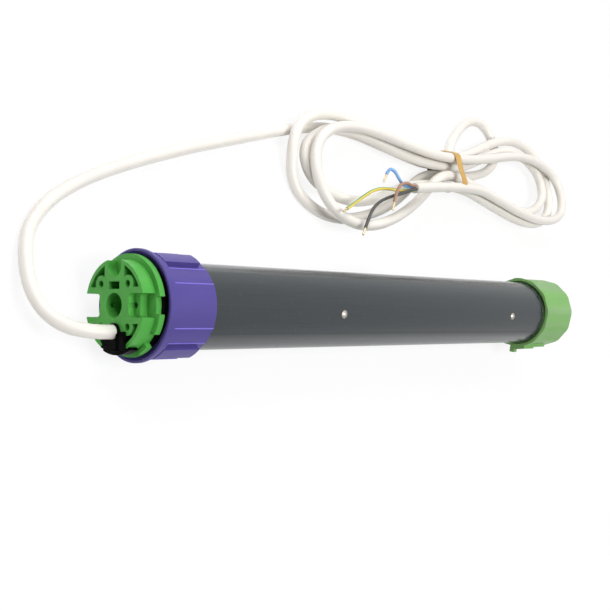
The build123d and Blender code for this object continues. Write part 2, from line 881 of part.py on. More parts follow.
def make_shield(start, floor_first):
    """Bearing shield: a disc with a skirt that reaches the stator and clears the end turns."""
    end = start + shield_length
    shield = ring(inner_fit_radius, 0, start, end)
    recess = inner_fit_radius - shield_skirt
    if floor_first:
        shield -= ring(recess, 0, start + shield_floor, end + overrun)
        bearing_start = start + (shield_floor - bearing_width)
        shield -= ring(bearing_radius, 0, bearing_start, end + overrun)
        shield -= ring(shaft_radius + free_gap, 0, start - overrun, end)
    else:
        shield -= ring(recess, 0, start - overrun, end - shield_floor)
        shield -= ring(bearing_radius, 0, start - overrun, end - (shield_floor - bearing_width))
        shield -= ring(shaft_radius + free_gap, 0, start, end + overrun)
    for place in rivet_places:
        for index in range(rivet_count):
            shield -= rivet_shank(place, index, rivet_shank_radius + fit)
    return shield


def make_rotor_bearings():
    """Two plain bearings of the rotor shaft."""
    front = shield_start + shield_floor - bearing_width
    rear = rear_shield_start + shield_length - shield_floor
    bearings = []
    for start in (front, rear):
        bearings.append(ring(bearing_radius, shaft_radius + run, start, start + bearing_width))
    return bearings


def make_stator_core():
    """Stack of laminations with slots for the windings."""
    lamination = Circle(inner_fit_radius) - Circle(stator_bore_radius)
    for index in range(stator_slots):
        angle = index * 360 / stator_slots
        lamination -= sector(stator_slot_outer, stator_slot_inner, angle, stator_slot_half_angle)
        mouth_height = stator_slot_inner - stator_bore_radius + 2 * stator_tooth_tip_gap
        mouth = Rectangle(mouth_height, stator_tooth_tip_gap)
        middle = at_angle((stator_slot_inner + stator_bore_radius) / 2, angle)
        lamination -= Pos(*middle) * Rot(0, 0, angle) * mouth
    return along(lamination, stator_start, stator_start + stator_length)


def make_windings():
    """Copper bars in the stator slots, joined by the end turns."""
    end = stator_start + stator_length
    coil = ring(end_turn_outer, end_turn_inner, stator_start - end_turn_length, stator_start - winding_gap)
    coil += ring(end_turn_outer, end_turn_inner, end + winding_gap, end + end_turn_length)
    half_angle = stator_slot_half_angle - degrees(winding_gap / stator_slot_inner)
    for index in range(stator_slots):
        angle = index * 360 / stator_slots
        outer = stator_slot_outer - winding_gap
        inner = stator_slot_inner + winding_gap
        bar = sector(outer, inner, angle, half_angle)
        coil += along(bar, stator_start - end_turn_length / 2, end + end_turn_length / 2)
    return coil


def make_rotor_core():
    core_start = stator_start + rotor_margin
    core_end = stator_start + stator_length - rotor_margin
    return ring(rotor_radius, shaft_radius, core_start, core_end)


def make_rotor_shaft():
    """Shaft whose end is cut as the sun gear of the first stage."""
    shaft = ring(shaft_radius, 0, shaft_start, gearbox_start)
    sun = gear(sun_teeth, gear_module)
    neck = ring(sun_radius - tooth_foot_share * gear_module, 0, gearbox_start, stage_place(0))
    sun_end = stage_place(0) + planet_widths[0]
    return shaft + neck + along(sun, stage_place(0), sun_end)


def make_brake_magnet():
    """Pot magnet with the spring's pocket and the armature's guide pins."""
    end = brake_start + brake_length
    magnet = ring(inner_fit_radius, brake_bore_radius, brake_start, end)
    pocket_start = end - spring_pocket_depth
    magnet -= ring(spring_pocket_outer, spring_pocket_inner, pocket_start, end + overrun)
    for index in range(guide_pin_count):
        place = at_angle(guide_pin_place_radius, index * 360 / guide_pin_count)
        pin_end = armature_start + armature_thickness
        magnet += rod(guide_pin_radius, place, end - overrun, pin_end)
    return magnet


def make_brake_spring():
    """Compression spring in the magnet's pocket, wound as one wire."""
    radius = (spring_pocket_inner + spring_pocket_outer) / 2
    height = spring_pocket_depth - spring_wire
    start = brake_start + brake_length - spring_pocket_depth + spring_wire / 2
    path = Helix(pitch=height / spring_curls, height=height, radius=radius)
    section = Plane(origin=path @ 0, z_dir=path % 0) * RegularPolygon(spring_wire / 2, 6)
    wound = sweep(section, path=path, is_frenet=True)
    return Plane(origin=(start, 0, 0), z_dir=(1, 0, 0)) * wound


def make_brake_armature():
    end = armature_start + armature_thickness
    plate = ring(armature_radius, brake_bore_radius, armature_start, end)
    for index in range(guide_pin_count):
        place = at_angle(guide_pin_place_radius, index * 360 / guide_pin_count)
        plate -= rod(guide_pin_radius + run, place, armature_start - overrun, end + overrun)
    return plate


def make_brake_disc():
    end = brake_disc_start + brake_disc_thickness
    return ring(brake_disc_radius, shaft_radius, brake_disc_start, end)


def make_gearbox_cover():
    return ring(inner_fit_radius, cover_bore_radius, cover_start, gearbox_start)


def make_ring_gear():
    """Fixed internal gear that all three stages share."""
    body = ring(inner_fit_radius, 0, gearbox_start, gearbox_end)
    hole = gear_hole(ring_teeth, gear_module)
    return body - along(hole, gearbox_start - overrun, gearbox_end + overrun)


def planet_angle(index):
    return index * 360 / planet_count


def make_planet(stage, index):
    place = at_angle(planet_place_radius, planet_angle(index))
    turn = meshed_turn(planet_angle(index), sun_teeth, 0, planet_teeth)
    outline = gear(planet_teeth, gear_module, turn) - Circle(planet_pin_radius + run)
    start = stage_place(stage)
    return along(Pos(*place) * outline, start, start + planet_widths[stage])


def carrier_with_pins(stage):
    """Carrier plate behind a stage, with the pins of its planets."""
    start = carrier_place(stage)
    carrier = ring(carrier_radius, 0, start, start + carrier_thicknesses[stage])
    for index in range(planet_count):
        place = at_angle(planet_place_radius, planet_angle(index))
        carrier += rod(planet_pin_radius, place, stage_place(stage), start)
    return carrier


def make_stage_carrier(stage):
    """Carrier whose other side is the sun gear of the next stage."""
    start = carrier_place(stage) + carrier_thicknesses[stage]
    sun_end = stage_place(stage + 1) + planet_widths[stage + 1]
    return carrier_with_pins(stage) + along(gear(sun_teeth, gear_module), start, sun_end)


def drive_section(gap):
    """Section of the driving end of the output shaft, grown by a gap."""
    return Circle(drive_radius + gap) & Rectangle(drive_flats + 2 * gap, 2 * (drive_radius + gap))


def make_output_shaft():
    """Last carrier and the output shaft in one, with two flats and a clip groove."""
    start = carrier_place(2) + carrier_thicknesses[2]
    shaft = carrier_with_pins(2) + ring(output_radius, 0, start, drive_start)
    shaft_end = wheel_end - shaft_tail
    shaft += along(drive_section(0), drive_start, shaft_end)
    groove_start = shaft_end - clip_inset
    groove_radius = drive_flats / 2 - clip_groove_depth
    groove = ring(drive_radius + overrun, groove_radius, groove_start, groove_start + clip_ring_width + fit)
    return shaft - groove


def make_output_bearing():
    end = gearbox_end + output_bearing_length
    block = ring(inner_fit_radius, output_radius + run, gearbox_end, end)
    relief = ring(inner_fit_radius - overrun / 2, output_radius + overrun, end - overrun * 2, end + overrun)
    block -= relief
    for index in range(rivet_count):
        block -= rivet_shank(rivet_places[1], index, rivet_shank_radius + fit)
    return block


def make_end_flange():
    """Dark green plug that closes the tube's end round the output shaft."""
    flange = ring(inner_fit_radius, output_radius + run, end_flange_start, tube_end)
    flange += ring(end_flange_rim_radius, output_radius + run, tube_end, tube_end + end_flange_rim)
    hollow_end = tube_end - end_flange_wall
    room = ring(
        inner_fit_radius - end_flange_wall, output_radius + end_flange_wall, end_flange_start, hollow_end
    )
    return flange - room


def radial_bar(angle, width, inner, outer, start, end):
    """Bar that stands out from the axis at an angle."""
    bar = Pos((inner + outer) / 2, 0) * Rectangle(outer - inner, width)
    return along(Rot(0, 0, angle) * bar, start, end)


def make_drive_wheel():
    """Green wheel that drives the roller tube, faceted, with a rim, a key and a hook."""
    outline = Rot(0, 0, wheel_turn) * RegularPolygon(wheel_radius, wheel_sides)
    outline = outline & Circle(wheel_radius - wheel_corner)
    rim_outline = Rot(0, 0, wheel_turn) * RegularPolygon(wheel_rim_radius, wheel_sides)
    rim_outline = rim_outline & Circle(wheel_rim_radius - wheel_corner)
    rim_end_place = wheel_start + wheel_rim_length
    wheel = along(outline, wheel_start, wheel_end)
    wheel = wheel + along(rim_outline, wheel_start, rim_end_place)
    wheel += radial_bar(
        key_angle, key_width, hub_radius, key_radius, wheel_start, wheel_start + key_length
    )
    wheel += radial_bar(
        key_angle, key_width, hub_radius, key_tail_radius, wheel_start, wheel_start + key_tail_length
    )
    wheel += radial_bar(
        hook_angle, hook_width, wheel_recess_radius, hook_radius, wheel_start, wheel_start + hook_length
    )
    wheel -= ring(wheel_recess_radius, 0, wheel_start - overrun, wheel_start + wheel_recess_depth)
    # Hollow back with the hub and webs left standing
    back_start = wheel_start + wheel_recess_depth + wheel_web
    hollow = Circle(wheel_radius * cos(pi / wheel_sides) - wheel_wall) - Circle(hub_radius)
    for index in range(wheel_web_count):
        angle = key_angle + index * 360 / wheel_web_count
        web = Rot(0, 0, angle) * (Pos(wheel_radius / 2, 0) * Rectangle(wheel_radius, wheel_web_thickness))
        hollow -= web
    wheel -= along(hollow, back_start, wheel_end + overrun)
    hub_end = wheel_end - shaft_tail - clip_inset
    wheel -= ring(hub_radius + overrun / 2, 0, hub_end, wheel_end + overrun)
    wheel -= along(drive_section(fit), wheel_start - overrun, wheel_end)
    return wheel - ring(output_radius + fit, 0, wheel_start - overrun, drive_start + fit)


def make_wheel_clip():
    """Open spring clip in the output shaft's groove, behind the hub."""
    start = wheel_end - shaft_tail - clip_inset
    shape = Circle(clip_ring_radius) - Circle(drive_flats / 2 - clip_groove_depth + fit / 2)
    wedge = sector(2 * clip_ring_radius, fit, 90, clip_ring_gap_angle / 2)
    return along(shape - wedge, start + fit / 2, start + fit / 2 + clip_ring_width)


def bend_radii(points):
    """Radius of each bend of a cord: as large as its two runs allow."""
    radii = []
    for before, corner, after in zip(points, points[1:], points[2:]):
        first = Vector(*corner) - Vector(*before)
        second = Vector(*after) - Vector(*corner)
        half_turn = radians(first.get_angle(second)) / 2
        shorter = min(first.length, second.length)
        radii.append(cable_bend_share * shorter / tan(half_turn))
    return radii


def cord_path(points):
    """Straight runs joined by tangent arcs."""
    return FilletPolyline(*points, radius=bend_radii(points))


def cord_tube(points, radius):
    """Round cord along a route."""
    path = cord_path(points)
    start = Plane(origin=path @ 0, z_dir=path % 0)
    return sweep(start * Circle(radius), path=path)


def make_mains_cable():
    """Free run of the cable, from the plug's snout to the hank."""
    return cord_tube(cable_route, cable_radius)


def make_cable_core(name):
    return cord_tube(core_routes[name], core_radius)


def make_core_tips():
    """Bare ends of the four cores."""
    tips = []
    for route in core_routes.values():
        end = Vector(*route[-1])
        direction = end - Vector(*route[-2])
        plane = Plane(origin=end, z_dir=direction)
        tips.append(extrude(plane * Circle(core_tip_radius), amount=core_tip_length))
    return tips


def hank_place(along_hank, across, layer, turn):
    """Place in the hank's own axes, turned about its waist, as a point of the part."""
    angle = radians(turn)
    x = along_hank * cos(angle) - across * sin(angle)
    y = along_hank * sin(angle) + across * cos(angle)
    return (hank_centre[0] + x, hank_centre[1] + y, lie + layer * layer_step)


def waist_place(side, strand, layer):
    """Place of a strand at one side of the waist, lifted clear of the band under it."""
    x, y, z = hank_place(side * waist_half_length, strand * strand_step, layer, hank_turn)
    return (x, y, z + band_thickness + band_gap)


def lobe_points(lobe):
    """Route of one lobe, out from the waist and back to it."""
    facing = 1 if lobe["side"] == 0 else -1
    inset = lobe["inset"] * nest_step
    reach = hank_reach * lobe["reach"] - inset
    half_width = hank_half_width * lobe["width"]
    (out_strand, out_layer), (back_strand, back_layer) = lobe["out"], lobe["back"]
    points = [waist_place(facing, out_strand, out_layer)]
    leaning = hank_turn + lobe["lean"]
    for reach_share, width_share, inset_share in lobe_profile_shares:
        across = facing * (half_width * width_share - inset * inset_share)
        points.append(hank_place(facing * reach * reach_share, across, out_layer, leaning))
    for reach_share, width_share, inset_share in reversed(lobe_profile_shares):
        across = -facing * (half_width * width_share - inset * inset_share)
        points.append(hank_place(facing * reach * reach_share, across, back_layer, leaning))
    points.append(waist_place(facing, back_strand, back_layer))
    return points


def hank_route():
    """Route of the whole hank, from the end of the free run to the jacket's end."""
    strand, layer = hank_lobes[0]["out"]
    points = [cable_route[-1], waist_place(-1, strand, layer)]
    for lobe in hank_lobes:
        points += lobe_points(lobe)
    across = jacket_end["strand"] * strand_step
    points.append(hank_place(jacket_end["along"], across, jacket_end["layer"], hank_turn))
    return points


def make_cable_hank():
    return cord_tube(hank_route(), cable_radius)


def waist_strands():
    """Places, across the hank and up, where its strands cross both faces of the band."""
    angle = radians(hank_turn)
    centre = Vector(*hank_centre, 0)
    forward = Vector(cos(angle), sin(angle), 0)
    side = Vector(-sin(angle), cos(angle), 0)
    route = [Vector(*point) - centre for point in hank_route()]
    strands = []
    for first, second in zip(route, route[1:]):
        before, after = first.dot(forward), second.dot(forward)
        if before * after < 0 and abs(before - after) >= waist_half_length:
            for face_along in (-band_width / 2, band_width / 2):
                share = (face_along - before) / (after - before)
                middle = first + (second - first) * share
                strands.append((middle.dot(side), middle.Z))
    return strands


def make_hank_band():
    """Rubber band that lies round all strands at the waist."""
    angle = radians(hank_turn)
    across, along_waist = (-sin(angle), cos(angle), 0), (cos(angle), sin(angle), 0)
    middle = Plane(origin=(*hank_centre, 0), x_dir=across, z_dir=along_waist)
    rounds = [Pos(*place) * Circle(cable_radius + band_gap) for place in waist_strands()]
    inside = make_hull([edge for shape in rounds for edge in shape.edges()])
    loop = offset(inside, amount=band_thickness) - inside
    return extrude(middle * loop, amount=band_width / 2, both=True)


def least_gap(points, radius):
    """Least gap of a cord to itself, between points that are far apart along it."""
    path = cord_path(points)
    count = ceil(path.length / radius)
    places = [tuple(path @ (index / count)) for index in range(count + 1)]
    apart = ceil(waist_half_length * 2 / radius)
    pairs = ((first, second) for first in range(count + 1) for second in range(first + apart, count + 1))
    return min(dist(places[first], places[second]) for first, second in pairs) - 2 * radius


def print_cord_checks(parts):
    """Print each cord's bend radii and compare its volume with its section times its length."""
    routes = {"mains_cable": (cable_route, cable_radius), "cable_hank": (hank_route(), cable_radius)}
    for name, route in core_routes.items():
        routes[f"core_{name}"] = (route, core_radius)
    for name, (route, radius) in routes.items():
        length = cord_path(route).length
        expected = pi * radius**2 * length
        print(name, "length", round(length), "volume", round(parts[name].volume), "of", round(expected))
        print(name, "radii", [round(bend) for bend in bend_radii(route)])
    print("cable_hank least gap to itself", round(least_gap(hank_route(), cable_radius), 2))


def nodes():
    """Every sub-part of the motor by its name."""
    parts = {
        "head_housing": make_head_housing(),
        "cable_plug": make_cable_plug(),
        "plug_clip": make_plug_clip(),
        "plug_contacts": make_plug_contacts(),
        "neck_sleeve": make_neck_sleeve(),
        "motor_tube": make_motor_tube(),
        "tube_rivets": make_tube_rivets(),
        "limit_frame": make_limit_frame(),
        "limit_pinion": make_limit_pinion(),
        "limit_layshaft": make_limit_layshaft(),
        "capacitor": make_capacitor(),
        "capacitor_holder": make_capacitor_holder(),
        "front_shield": make_shield(shield_start, True),
        "rear_shield": make_shield(rear_shield_start, False),
        "rotor_bearings": make_rotor_bearings(),
        "stator_core": make_stator_core(),
        "windings": make_windings(),
        "rotor_core": make_rotor_core(),
        "rotor_shaft": make_rotor_shaft(),
        "brake_magnet": make_brake_magnet(),
        "brake_spring": make_brake_spring(),
        "brake_armature": make_brake_armature(),
        "brake_disc": make_brake_disc(),
        "gearbox_cover": make_gearbox_cover(),
        "ring_gear": make_ring_gear(),
        "stage_1_carrier": make_stage_carrier(0),
        "stage_2_carrier": make_stage_carrier(1),
        "output_shaft": make_output_shaft(),
        "output_bearing": make_output_bearing(),
        "end_flange": make_end_flange(),
        "drive_wheel": make_drive_wheel(),
        "wheel_clip": make_wheel_clip(),
        "crown": make_crown(),
    }
    for name in spindle_angles:
        parts[f"limit_spindle_{name}"] = make_limit_spindle(name)
        parts[f"limit_nut_{name}"] = make_limit_nut(name)
        parts[f"limit_switch_{name}"] = make_limit_switch(name)
        parts[f"switch_plunger_{name}"] = make_switch_plunger(name)
        parts[f"limit_adjuster_{name}"] = make_limit_adjuster(name)
    for stage in range(len(planet_widths)):
        for index in range(planet_count):
            parts[f"planet_{stage + 1}_{index + 1}"] = make_planet(stage, index)
    parts["mains_cable"] = make_mains_cable()
    parts["cable_hank"] = make_cable_hank()
    parts["hank_band"] = make_hank_band()
    for name in core_routes:
        parts[f"core_{name}"] = make_cable_core(name)
    parts["core_tips"] = make_core_tips()
    return parts


if __name__ == "__main__":
    os.makedirs("parts", exist_ok=True)
    parts = nodes()
    print_cord_checks(parts)
    for name, shape in parts.items():
        solids = shape if isinstance(shape, list) else [shape]
        node = Compound(children=solids) if len(solids) > 1 else solids[0]
        export_step(node, f"parts/{name}.step")
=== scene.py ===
import math

import bmesh
import bpy
from mathutils import Matrix, Vector


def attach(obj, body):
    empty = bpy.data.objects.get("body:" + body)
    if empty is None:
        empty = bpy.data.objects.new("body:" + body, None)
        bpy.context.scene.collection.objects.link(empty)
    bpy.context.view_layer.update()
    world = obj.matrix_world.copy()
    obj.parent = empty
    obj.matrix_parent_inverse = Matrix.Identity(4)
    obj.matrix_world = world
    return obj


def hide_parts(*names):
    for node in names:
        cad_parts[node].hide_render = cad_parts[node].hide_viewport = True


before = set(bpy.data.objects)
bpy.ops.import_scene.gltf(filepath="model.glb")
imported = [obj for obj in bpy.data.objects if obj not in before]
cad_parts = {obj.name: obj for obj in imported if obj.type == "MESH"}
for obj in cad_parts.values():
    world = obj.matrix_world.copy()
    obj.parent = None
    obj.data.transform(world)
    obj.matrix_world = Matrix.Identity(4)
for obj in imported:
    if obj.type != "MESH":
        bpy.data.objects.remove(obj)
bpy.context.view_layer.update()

bl_info = {
    "name": "Tubular Blind Motor",
    "version": (1, 0, 0),
    "blender": (4, 5, 0),
    "location": "View3D > Sidebar > Blind Motor",
    "description": "Finishes a tubular roller blind motor and lays its mains cable",
    "category": "Object",
}

FLOOR_HEIGHT = -0.0295
FLOOR_FADE = 1.2

# Middle of the cable, from the plug in the head to where the hank starts.
FREE_RUN = [
    (-0.0016, -0.01324, -0.00227),
    (-0.0085, -0.01324, -0.00227),
    (-0.0169, -0.0121, -0.0038),
    (-0.0246, -0.0092, -0.0073),
    (-0.0304, -0.0036, -0.0112),
    (-0.0338, 0.0042, -0.0149),
    (-0.0348, 0.013, -0.0182),
    (-0.0338, 0.0226, -0.0213),
    (-0.0312, 0.0346, -0.024),
    (-0.0268, 0.0466, -0.02575),
    (-0.0173, 0.0582, -0.02575),
    (-0.0045, 0.0678, -0.02575),
    (0.013, 0.0772, -0.02575),
    (0.0364, 0.0869, -0.02575),
    (0.063, 0.096, -0.02575),
    (0.092, 0.1052, -0.02575),
    (0.121, 0.1134, -0.02575),
    (0.15, 0.1213, -0.02575),
    (0.177, 0.1289, -0.02575),
    (0.203, 0.135, -0.02575),
    (0.2305, 0.1389, -0.02575),
    (0.2575, 0.1385, -0.02575),
    (0.28473, 0.1337, -0.02535),
    (0.30873, 0.1291, -0.0248),
]

# Middle of the cable along the hank, lobe by lobe, to the jacket's end.
HANK = [
    (0.33273, 0.1245, -0.02425),
    (0.3727, 0.12589, -0.02425),
    (0.38056, 0.14468, -0.02575),
    (0.4009, 0.16232, -0.02575),
    (0.4198, 0.17286, -0.02575),
    (0.43673, 0.17483, -0.02575),
    (0.44793, 0.16868, -0.02575),
    (0.45361, 0.1565, -0.02575),
    (0.45112, 0.14397, -0.02575),
    (0.43873, 0.13226, -0.02575),
    (0.41851, 0.12456, -0.02575),
    (0.39192, 0.12032, -0.02575),
    (0.37299, 0.1177, -0.02425),
    (0.33301, 0.1163, -0.02425),
    (0.29556, 0.09037, -0.02575),
    (0.25477, 0.07508, -0.02575),
    (0.22023, 0.07002, -0.02575),
    (0.19357, 0.07721, -0.02575),
    (0.18021, 0.09361, -0.02575),
    (0.17864, 0.11611, -0.0176),
    (0.18958, 0.13422, -0.0176),
    (0.21499, 0.14504, -0.0176),
    (0.24989, 0.14484, -0.0176),
    (0.29241, 0.13538, -0.0176),
    (0.33258, 0.12859, -0.0161),
    (0.37256, 0.12999, -0.0161),
    (0.40777, 0.14197, -0.0176),
    (0.44656, 0.156, -0.0176),
    (0.47916, 0.15983, -0.0176),
    (0.504, 0.15147, -0.0176),
    (0.51606, 0.13422, -0.0176),
    (0.51686, 0.1112, -0.0176),
    (0.50604, 0.09314, -0.0176),
    (0.48184, 0.08308, -0.0176),
    (0.44905, 0.08462, -0.0176),
    (0.40938, 0.09591, -0.0176),
    (0.37342, 0.10541, -0.0161),
    (0.33344, 0.10401, -0.0161),
    (0.29828, 0.10068, -0.0176),
    (0.2599, 0.08556, -0.0176),
    (0.22739, 0.08065, -0.0176),
    (0.20223, 0.08794, -0.0176),
    (0.19007, 0.09734, -0.0176),
    (0.18892, 0.1138, -0.0176),
    (0.19966, 0.1248, -0.0176),
    (0.22355, 0.13552, -0.0176),
    (0.25643, 0.13518, -0.0176),
    (0.29654, 0.12554, -0.0176),
    (0.33287, 0.1204, -0.0161),
    (0.37284, 0.1218, -0.0161),
    (0.40469, 0.13175, -0.0176),
    (0.44106, 0.1457, -0.0176),
    (0.47164, 0.14946, -0.0176),
    (0.49496, 0.14105, -0.0176),
    (0.50607, 0.13084, -0.0176),
    (0.50666, 0.11387, -0.0176),
    (0.4963, 0.10291, -0.0176),
    (0.47361, 0.09289, -0.0176),
    (0.44285, 0.09451, -0.0176),
    (0.4056, 0.10589, -0.0176),
    (0.37313, 0.1136, -0.0161),
    (0.33321, 0.11057, -0.00795),
    (0.30094, 0.0864, -0.00945),
    (0.26366, 0.0682, -0.00945),
    (0.23141, 0.06048, -0.00945),
    (0.20554, 0.06533, -0.00945),
    (0.19146, 0.08024, -0.00945),
    (0.18801, 0.10205, -0.00945),
    (0.19679, 0.12058, -0.00945),
    (0.2199, 0.13318, -0.00945),
    (0.25295, 0.1358, -0.00945),
    (0.29404, 0.13002, -0.00945),
    (0.33273, 0.1245, -0.00795),
    (0.3727, 0.12589, -0.00795),
    (0.41154, 0.13225, -0.00945),
    (0.45278, 0.14032, -0.00945),
    (0.48693, 0.14114, -0.00945),
    (0.51225, 0.13334, -0.00945),
    (0.52372, 0.11968, -0.00945),
    (0.52311, 0.10241, -0.00945),
    (0.51072, 0.08959, -0.00945),
    (0.48492, 0.08358, -0.00945),
    (0.45091, 0.08678, -0.00945),
    (0.41034, 0.09771, -0.00945),
    (0.37342, 0.10541, -0.00795),
    (0.27693, 0.08891, 0.00408),
]

CORES = {
    "earth": [
        (0.277, 0.08755, 0.00274),
        (0.2721, 0.0867, 0.00335),
        (0.264, 0.087, 0.0),
        (0.2555, 0.089, -0.0036),
        (0.2455, 0.0885, -0.0066),
        (0.232, 0.0825, -0.0072),
        (0.218, 0.0755, -0.0052),
        (0.205, 0.0695, -0.003),
    ],
    "black": [
        (0.2773, 0.08761, 0.00542),
        (0.2724, 0.0868, 0.00604),
        (0.264, 0.0842, 0.0036),
        (0.2555, 0.0826, 0.0),
        (0.246, 0.0795, -0.0025),
        (0.235, 0.074, -0.0022),
        (0.226, 0.0665, -0.001),
        (0.2195, 0.057, -0.0018),
    ],
    "brown": [
        (0.27683, 0.09027, 0.00542),
        (0.27196, 0.08944, 0.00604),
        (0.265, 0.0905, 0.0072),
        (0.2585, 0.0895, 0.0068),
        (0.254, 0.0845, 0.0048),
        (0.2526, 0.077, 0.002),
    ],
    "blue": [
        (0.27654, 0.09021, 0.00274),
        (0.27165, 0.08938, 0.00335),
        (0.266, 0.0906, 0.0024),
        (0.2615, 0.0948, 0.0032),
        (0.2586, 0.1, 0.0032),
        (0.254, 0.102, 0.002),
        (0.2522, 0.0978, 0.0002),
    ],
}


# How much the plastics and the paint mirror
PLASTIC_SPECULAR = 0.16
BLACK_SPECULAR = 0.02
PAINT_SPECULAR = 0.14

# The head is turned about the axis by this much, in degrees.
HEAD_TURN = 14.0

# Crown ridges: radius at the foot, degrees from a lobe's middle, first and last place along
CROWN_RIDGES = [
    (0.028, 24.1, 0.0177, 0.0443),
    (0.0268, 45.4, 0.0177, 0.0443),
]
RIDGE_HEIGHT = 0.00026
RIDGE_HALF_WIDTH = 0.00034
RIDGE_SECTION = [(-1.0, -0.5), (-1.0, 0.5), (-0.5, 1.0), (0.5, 1.0), (1.0, 0.5), (1.0, -0.5)]

# Latch of the plug, in the head's own directions: front and back, across, and up
LATCH_DEPTH = (-0.0026, -0.001)
LATCH_ACROSS = (0.0048, 0.0102)
LATCH_RISE = (-0.0226, -0.0143)
LATCH_WALL = 0.0017

# Ends of the clip's strap, in degrees on the head
CLIP_ENDS = (-114.0, -62.0)

# Camera at the photograph's angle
CAMERA_PLACE = (-0.3225, -0.1065, 0.4087)
CAMERA_RIGHT = (0.6719, -0.1699, 0.7209)
CAMERA_FORWARD = (0.7405, 0.1728, -0.6495)
CAMERA_SENSOR = 36.0

# Lamps: place, length, width and share of the key lamp's power
LAMPS = {
    "key_lamp": ((0.15, -0.35, 1.3), 1.0, 0.6, 1.0),
    "back_lamp": ((0.25, 0.95, 0.7), 1.2, 0.3, 0.4),
    "head_lamp": ((-0.55, 0.75, 1.0), 0.35, 0.35, 0.32),
}
LAMP_AIM = (0.2, 0.03, 0.0)

# Middle and turn of the hank's waist, and room between a strand's middle and the band
WAIST_PLACE = (0.353, 0.117)
WAIST_TURN = 2.0
WAIST_CLEAR = 0.0041
BAND_STEPS = 72
BAND_THICKNESS = 0.0008
BAND_HALF_WIDTH = 0.0042
COPPER_STRAND = 0.0004

# Strands at the waist, across the hank and up, and the section of the band.
WAIST_STRANDS = [
    (0.0082, -0.02425),
    (0.0, -0.02425),
    (0.0123, -0.0161),
    (-0.0123, -0.0161),
    (0.0041, -0.0161),
    (-0.0041, -0.0161),
    (-0.0049, -0.012),
    (0.0082, -0.008),
    (-0.0128, -0.0056),
]
BAND_SECTION = [
    (-1.0, 0.25),
    (-0.85, 0.9),
    (-0.4, 1.0),
    (0.0, 1.0),
    (0.4, 1.0),
    (0.85, 0.9),
    (1.0, 0.25),
    (0.85, 0.0),
    (0.0, 0.0),
    (-0.85, 0.0),
]


# Shader expressions


class Wire:
    """An output socket of a shader node that can be used in sums."""

    def __init__(self, shader, socket):
        self.shader = shader
        self.socket = socket

    @property
    def is_number(self):
        return self.socket.type == "VALUE"

    def combine(self, operation, first, second):
        """Math node for two numbers, Vector Math where either is a vector."""
        kind = "ShaderNodeVectorMath" if self.has_vector(first, second) else "ShaderNodeMath"
        if kind == "ShaderNodeVectorMath":
            first, second = [
                v if isinstance(v, (tuple, Wire)) else (v, v, v) for v in (first, second)
            ]
        return self.shader.node(kind, {"operation": operation}, {0: first, 1: second})

    def has_vector(self, *values):
        return any(not v.is_number if isinstance(v, Wire) else isinstance(v, tuple) for v in values)

    def __add__(self, other):
        return self.combine("ADD", self, other)

    def __radd__(self, other):
        return self.combine("ADD", other, self)

    def __sub__(self, other):
        return self.combine("SUBTRACT", self, other)

    def __rsub__(self, other):
        return self.combine("SUBTRACT", other, self)

    def __mul__(self, other):
        return self.combine("MULTIPLY", self, other)

    def __rmul__(self, other):
        return self.combine("MULTIPLY", other, self)

    def __truediv__(self, other):
        return self.combine("DIVIDE", self, other)

    def clipped(self):
        return self.shader.node("ShaderNodeClamp", {}, {"Value": self})

    def above(self, level, softness=0.02):
        """0 below a level and 1 above it, with a soft step."""
        return ((self - level) / softness + 0.5).clipped()

    def wave(self):
        """Sine of the value, from 0 to 1."""
        return self.shader.node("ShaderNodeMath", {"operation": "SINE"}, {0: self}) * 0.5 + 0.5


class Nodes:
    """The nodes of a material or a world, empty at first."""

    def __init__(self, owner):
        owner.use_nodes = True
        self.tree = owner.node_tree
        self.tree.nodes.clear()

    def feed(self, socket, value):
        if isinstance(value, Wire):
            self.tree.links.new(value.socket, socket)
        elif isinstance(value, tuple) and len(value) == 3 and socket.type == "RGBA":
            socket.default_value = (*value, 1.0)
        else:
            socket.default_value = value

    def node(self, kind, settings, sockets, output=0):
        """Add a node: its settings first, then the values or links of its sockets."""
        made = self.tree.nodes.new(kind)
        for key, value in settings.items():
            if key == "stops":
                ramp = made.color_ramp.elements
                while len(ramp) < len(value):
                    ramp.new(1.0)
                for element, (place, colour) in zip(ramp, value):
                    element.position = place
                    element.color = (*colour, 1.0)
            else:
                setattr(made, key, value)
        for key, value in sockets.items():
            self.feed(made.inputs[key], value)
        return made if output is None else Wire(self, made.outputs[output])

    def output(self, kind, shader):
        """Add the output node and link a shader to it."""
        return self.node(kind, {}, {"Surface": shader}, None)

    def place(self, output="Object"):
        return self.node("ShaderNodeTexCoord", {}, {}, output)

    def parts(self, vector):
        return [self.node("ShaderNodeSeparateXYZ", {}, {0: vector}, axis) for axis in "XYZ"]

    def noise(self, vector, scale, detail=3.0, roughness=0.5):
        sockets = {"Vector": vector, "Scale": scale, "Detail": detail, "Roughness": roughness}
        return self.node("ShaderNodeTexNoise", {}, sockets)

    def cells(self, vector, scale):
        return self.node("ShaderNodeTexVoronoi", {}, {"Vector": vector, "Scale": scale})

    def mix(self, factor, first, second):
        """First colour where factor is 0, second where it is 1."""
        sockets = {0: factor, 6: first, 7: second}
        return self.node("ShaderNodeMix", {"data_type": "RGBA"}, sockets, 2)

    def bump(self, height, strength, distance):
        sockets = {"Strength": strength, "Distance": distance, "Height": height}
        return self.node("ShaderNodeBump", {}, sockets)


class Finish(Nodes):
    """A material under construction."""

    def __init__(self, name):
        self.material = bpy.data.materials.new(name)
        super().__init__(self.material)
        self.shader = self.node("ShaderNodeBsdfPrincipled", {}, {}, None)
        self.plain = Wire(self, self.shader.outputs[0])
        self.end = self.output("ShaderNodeOutputMaterial", self.plain)

    def surface(self, **values):
        """Set the shader's values by the names of its sockets."""
        sockets = {socket.name.lower(): socket for socket in self.shader.inputs}
        for key, value in values.items():
            self.feed(sockets[key.replace("_", " ")], value)
        return self.material


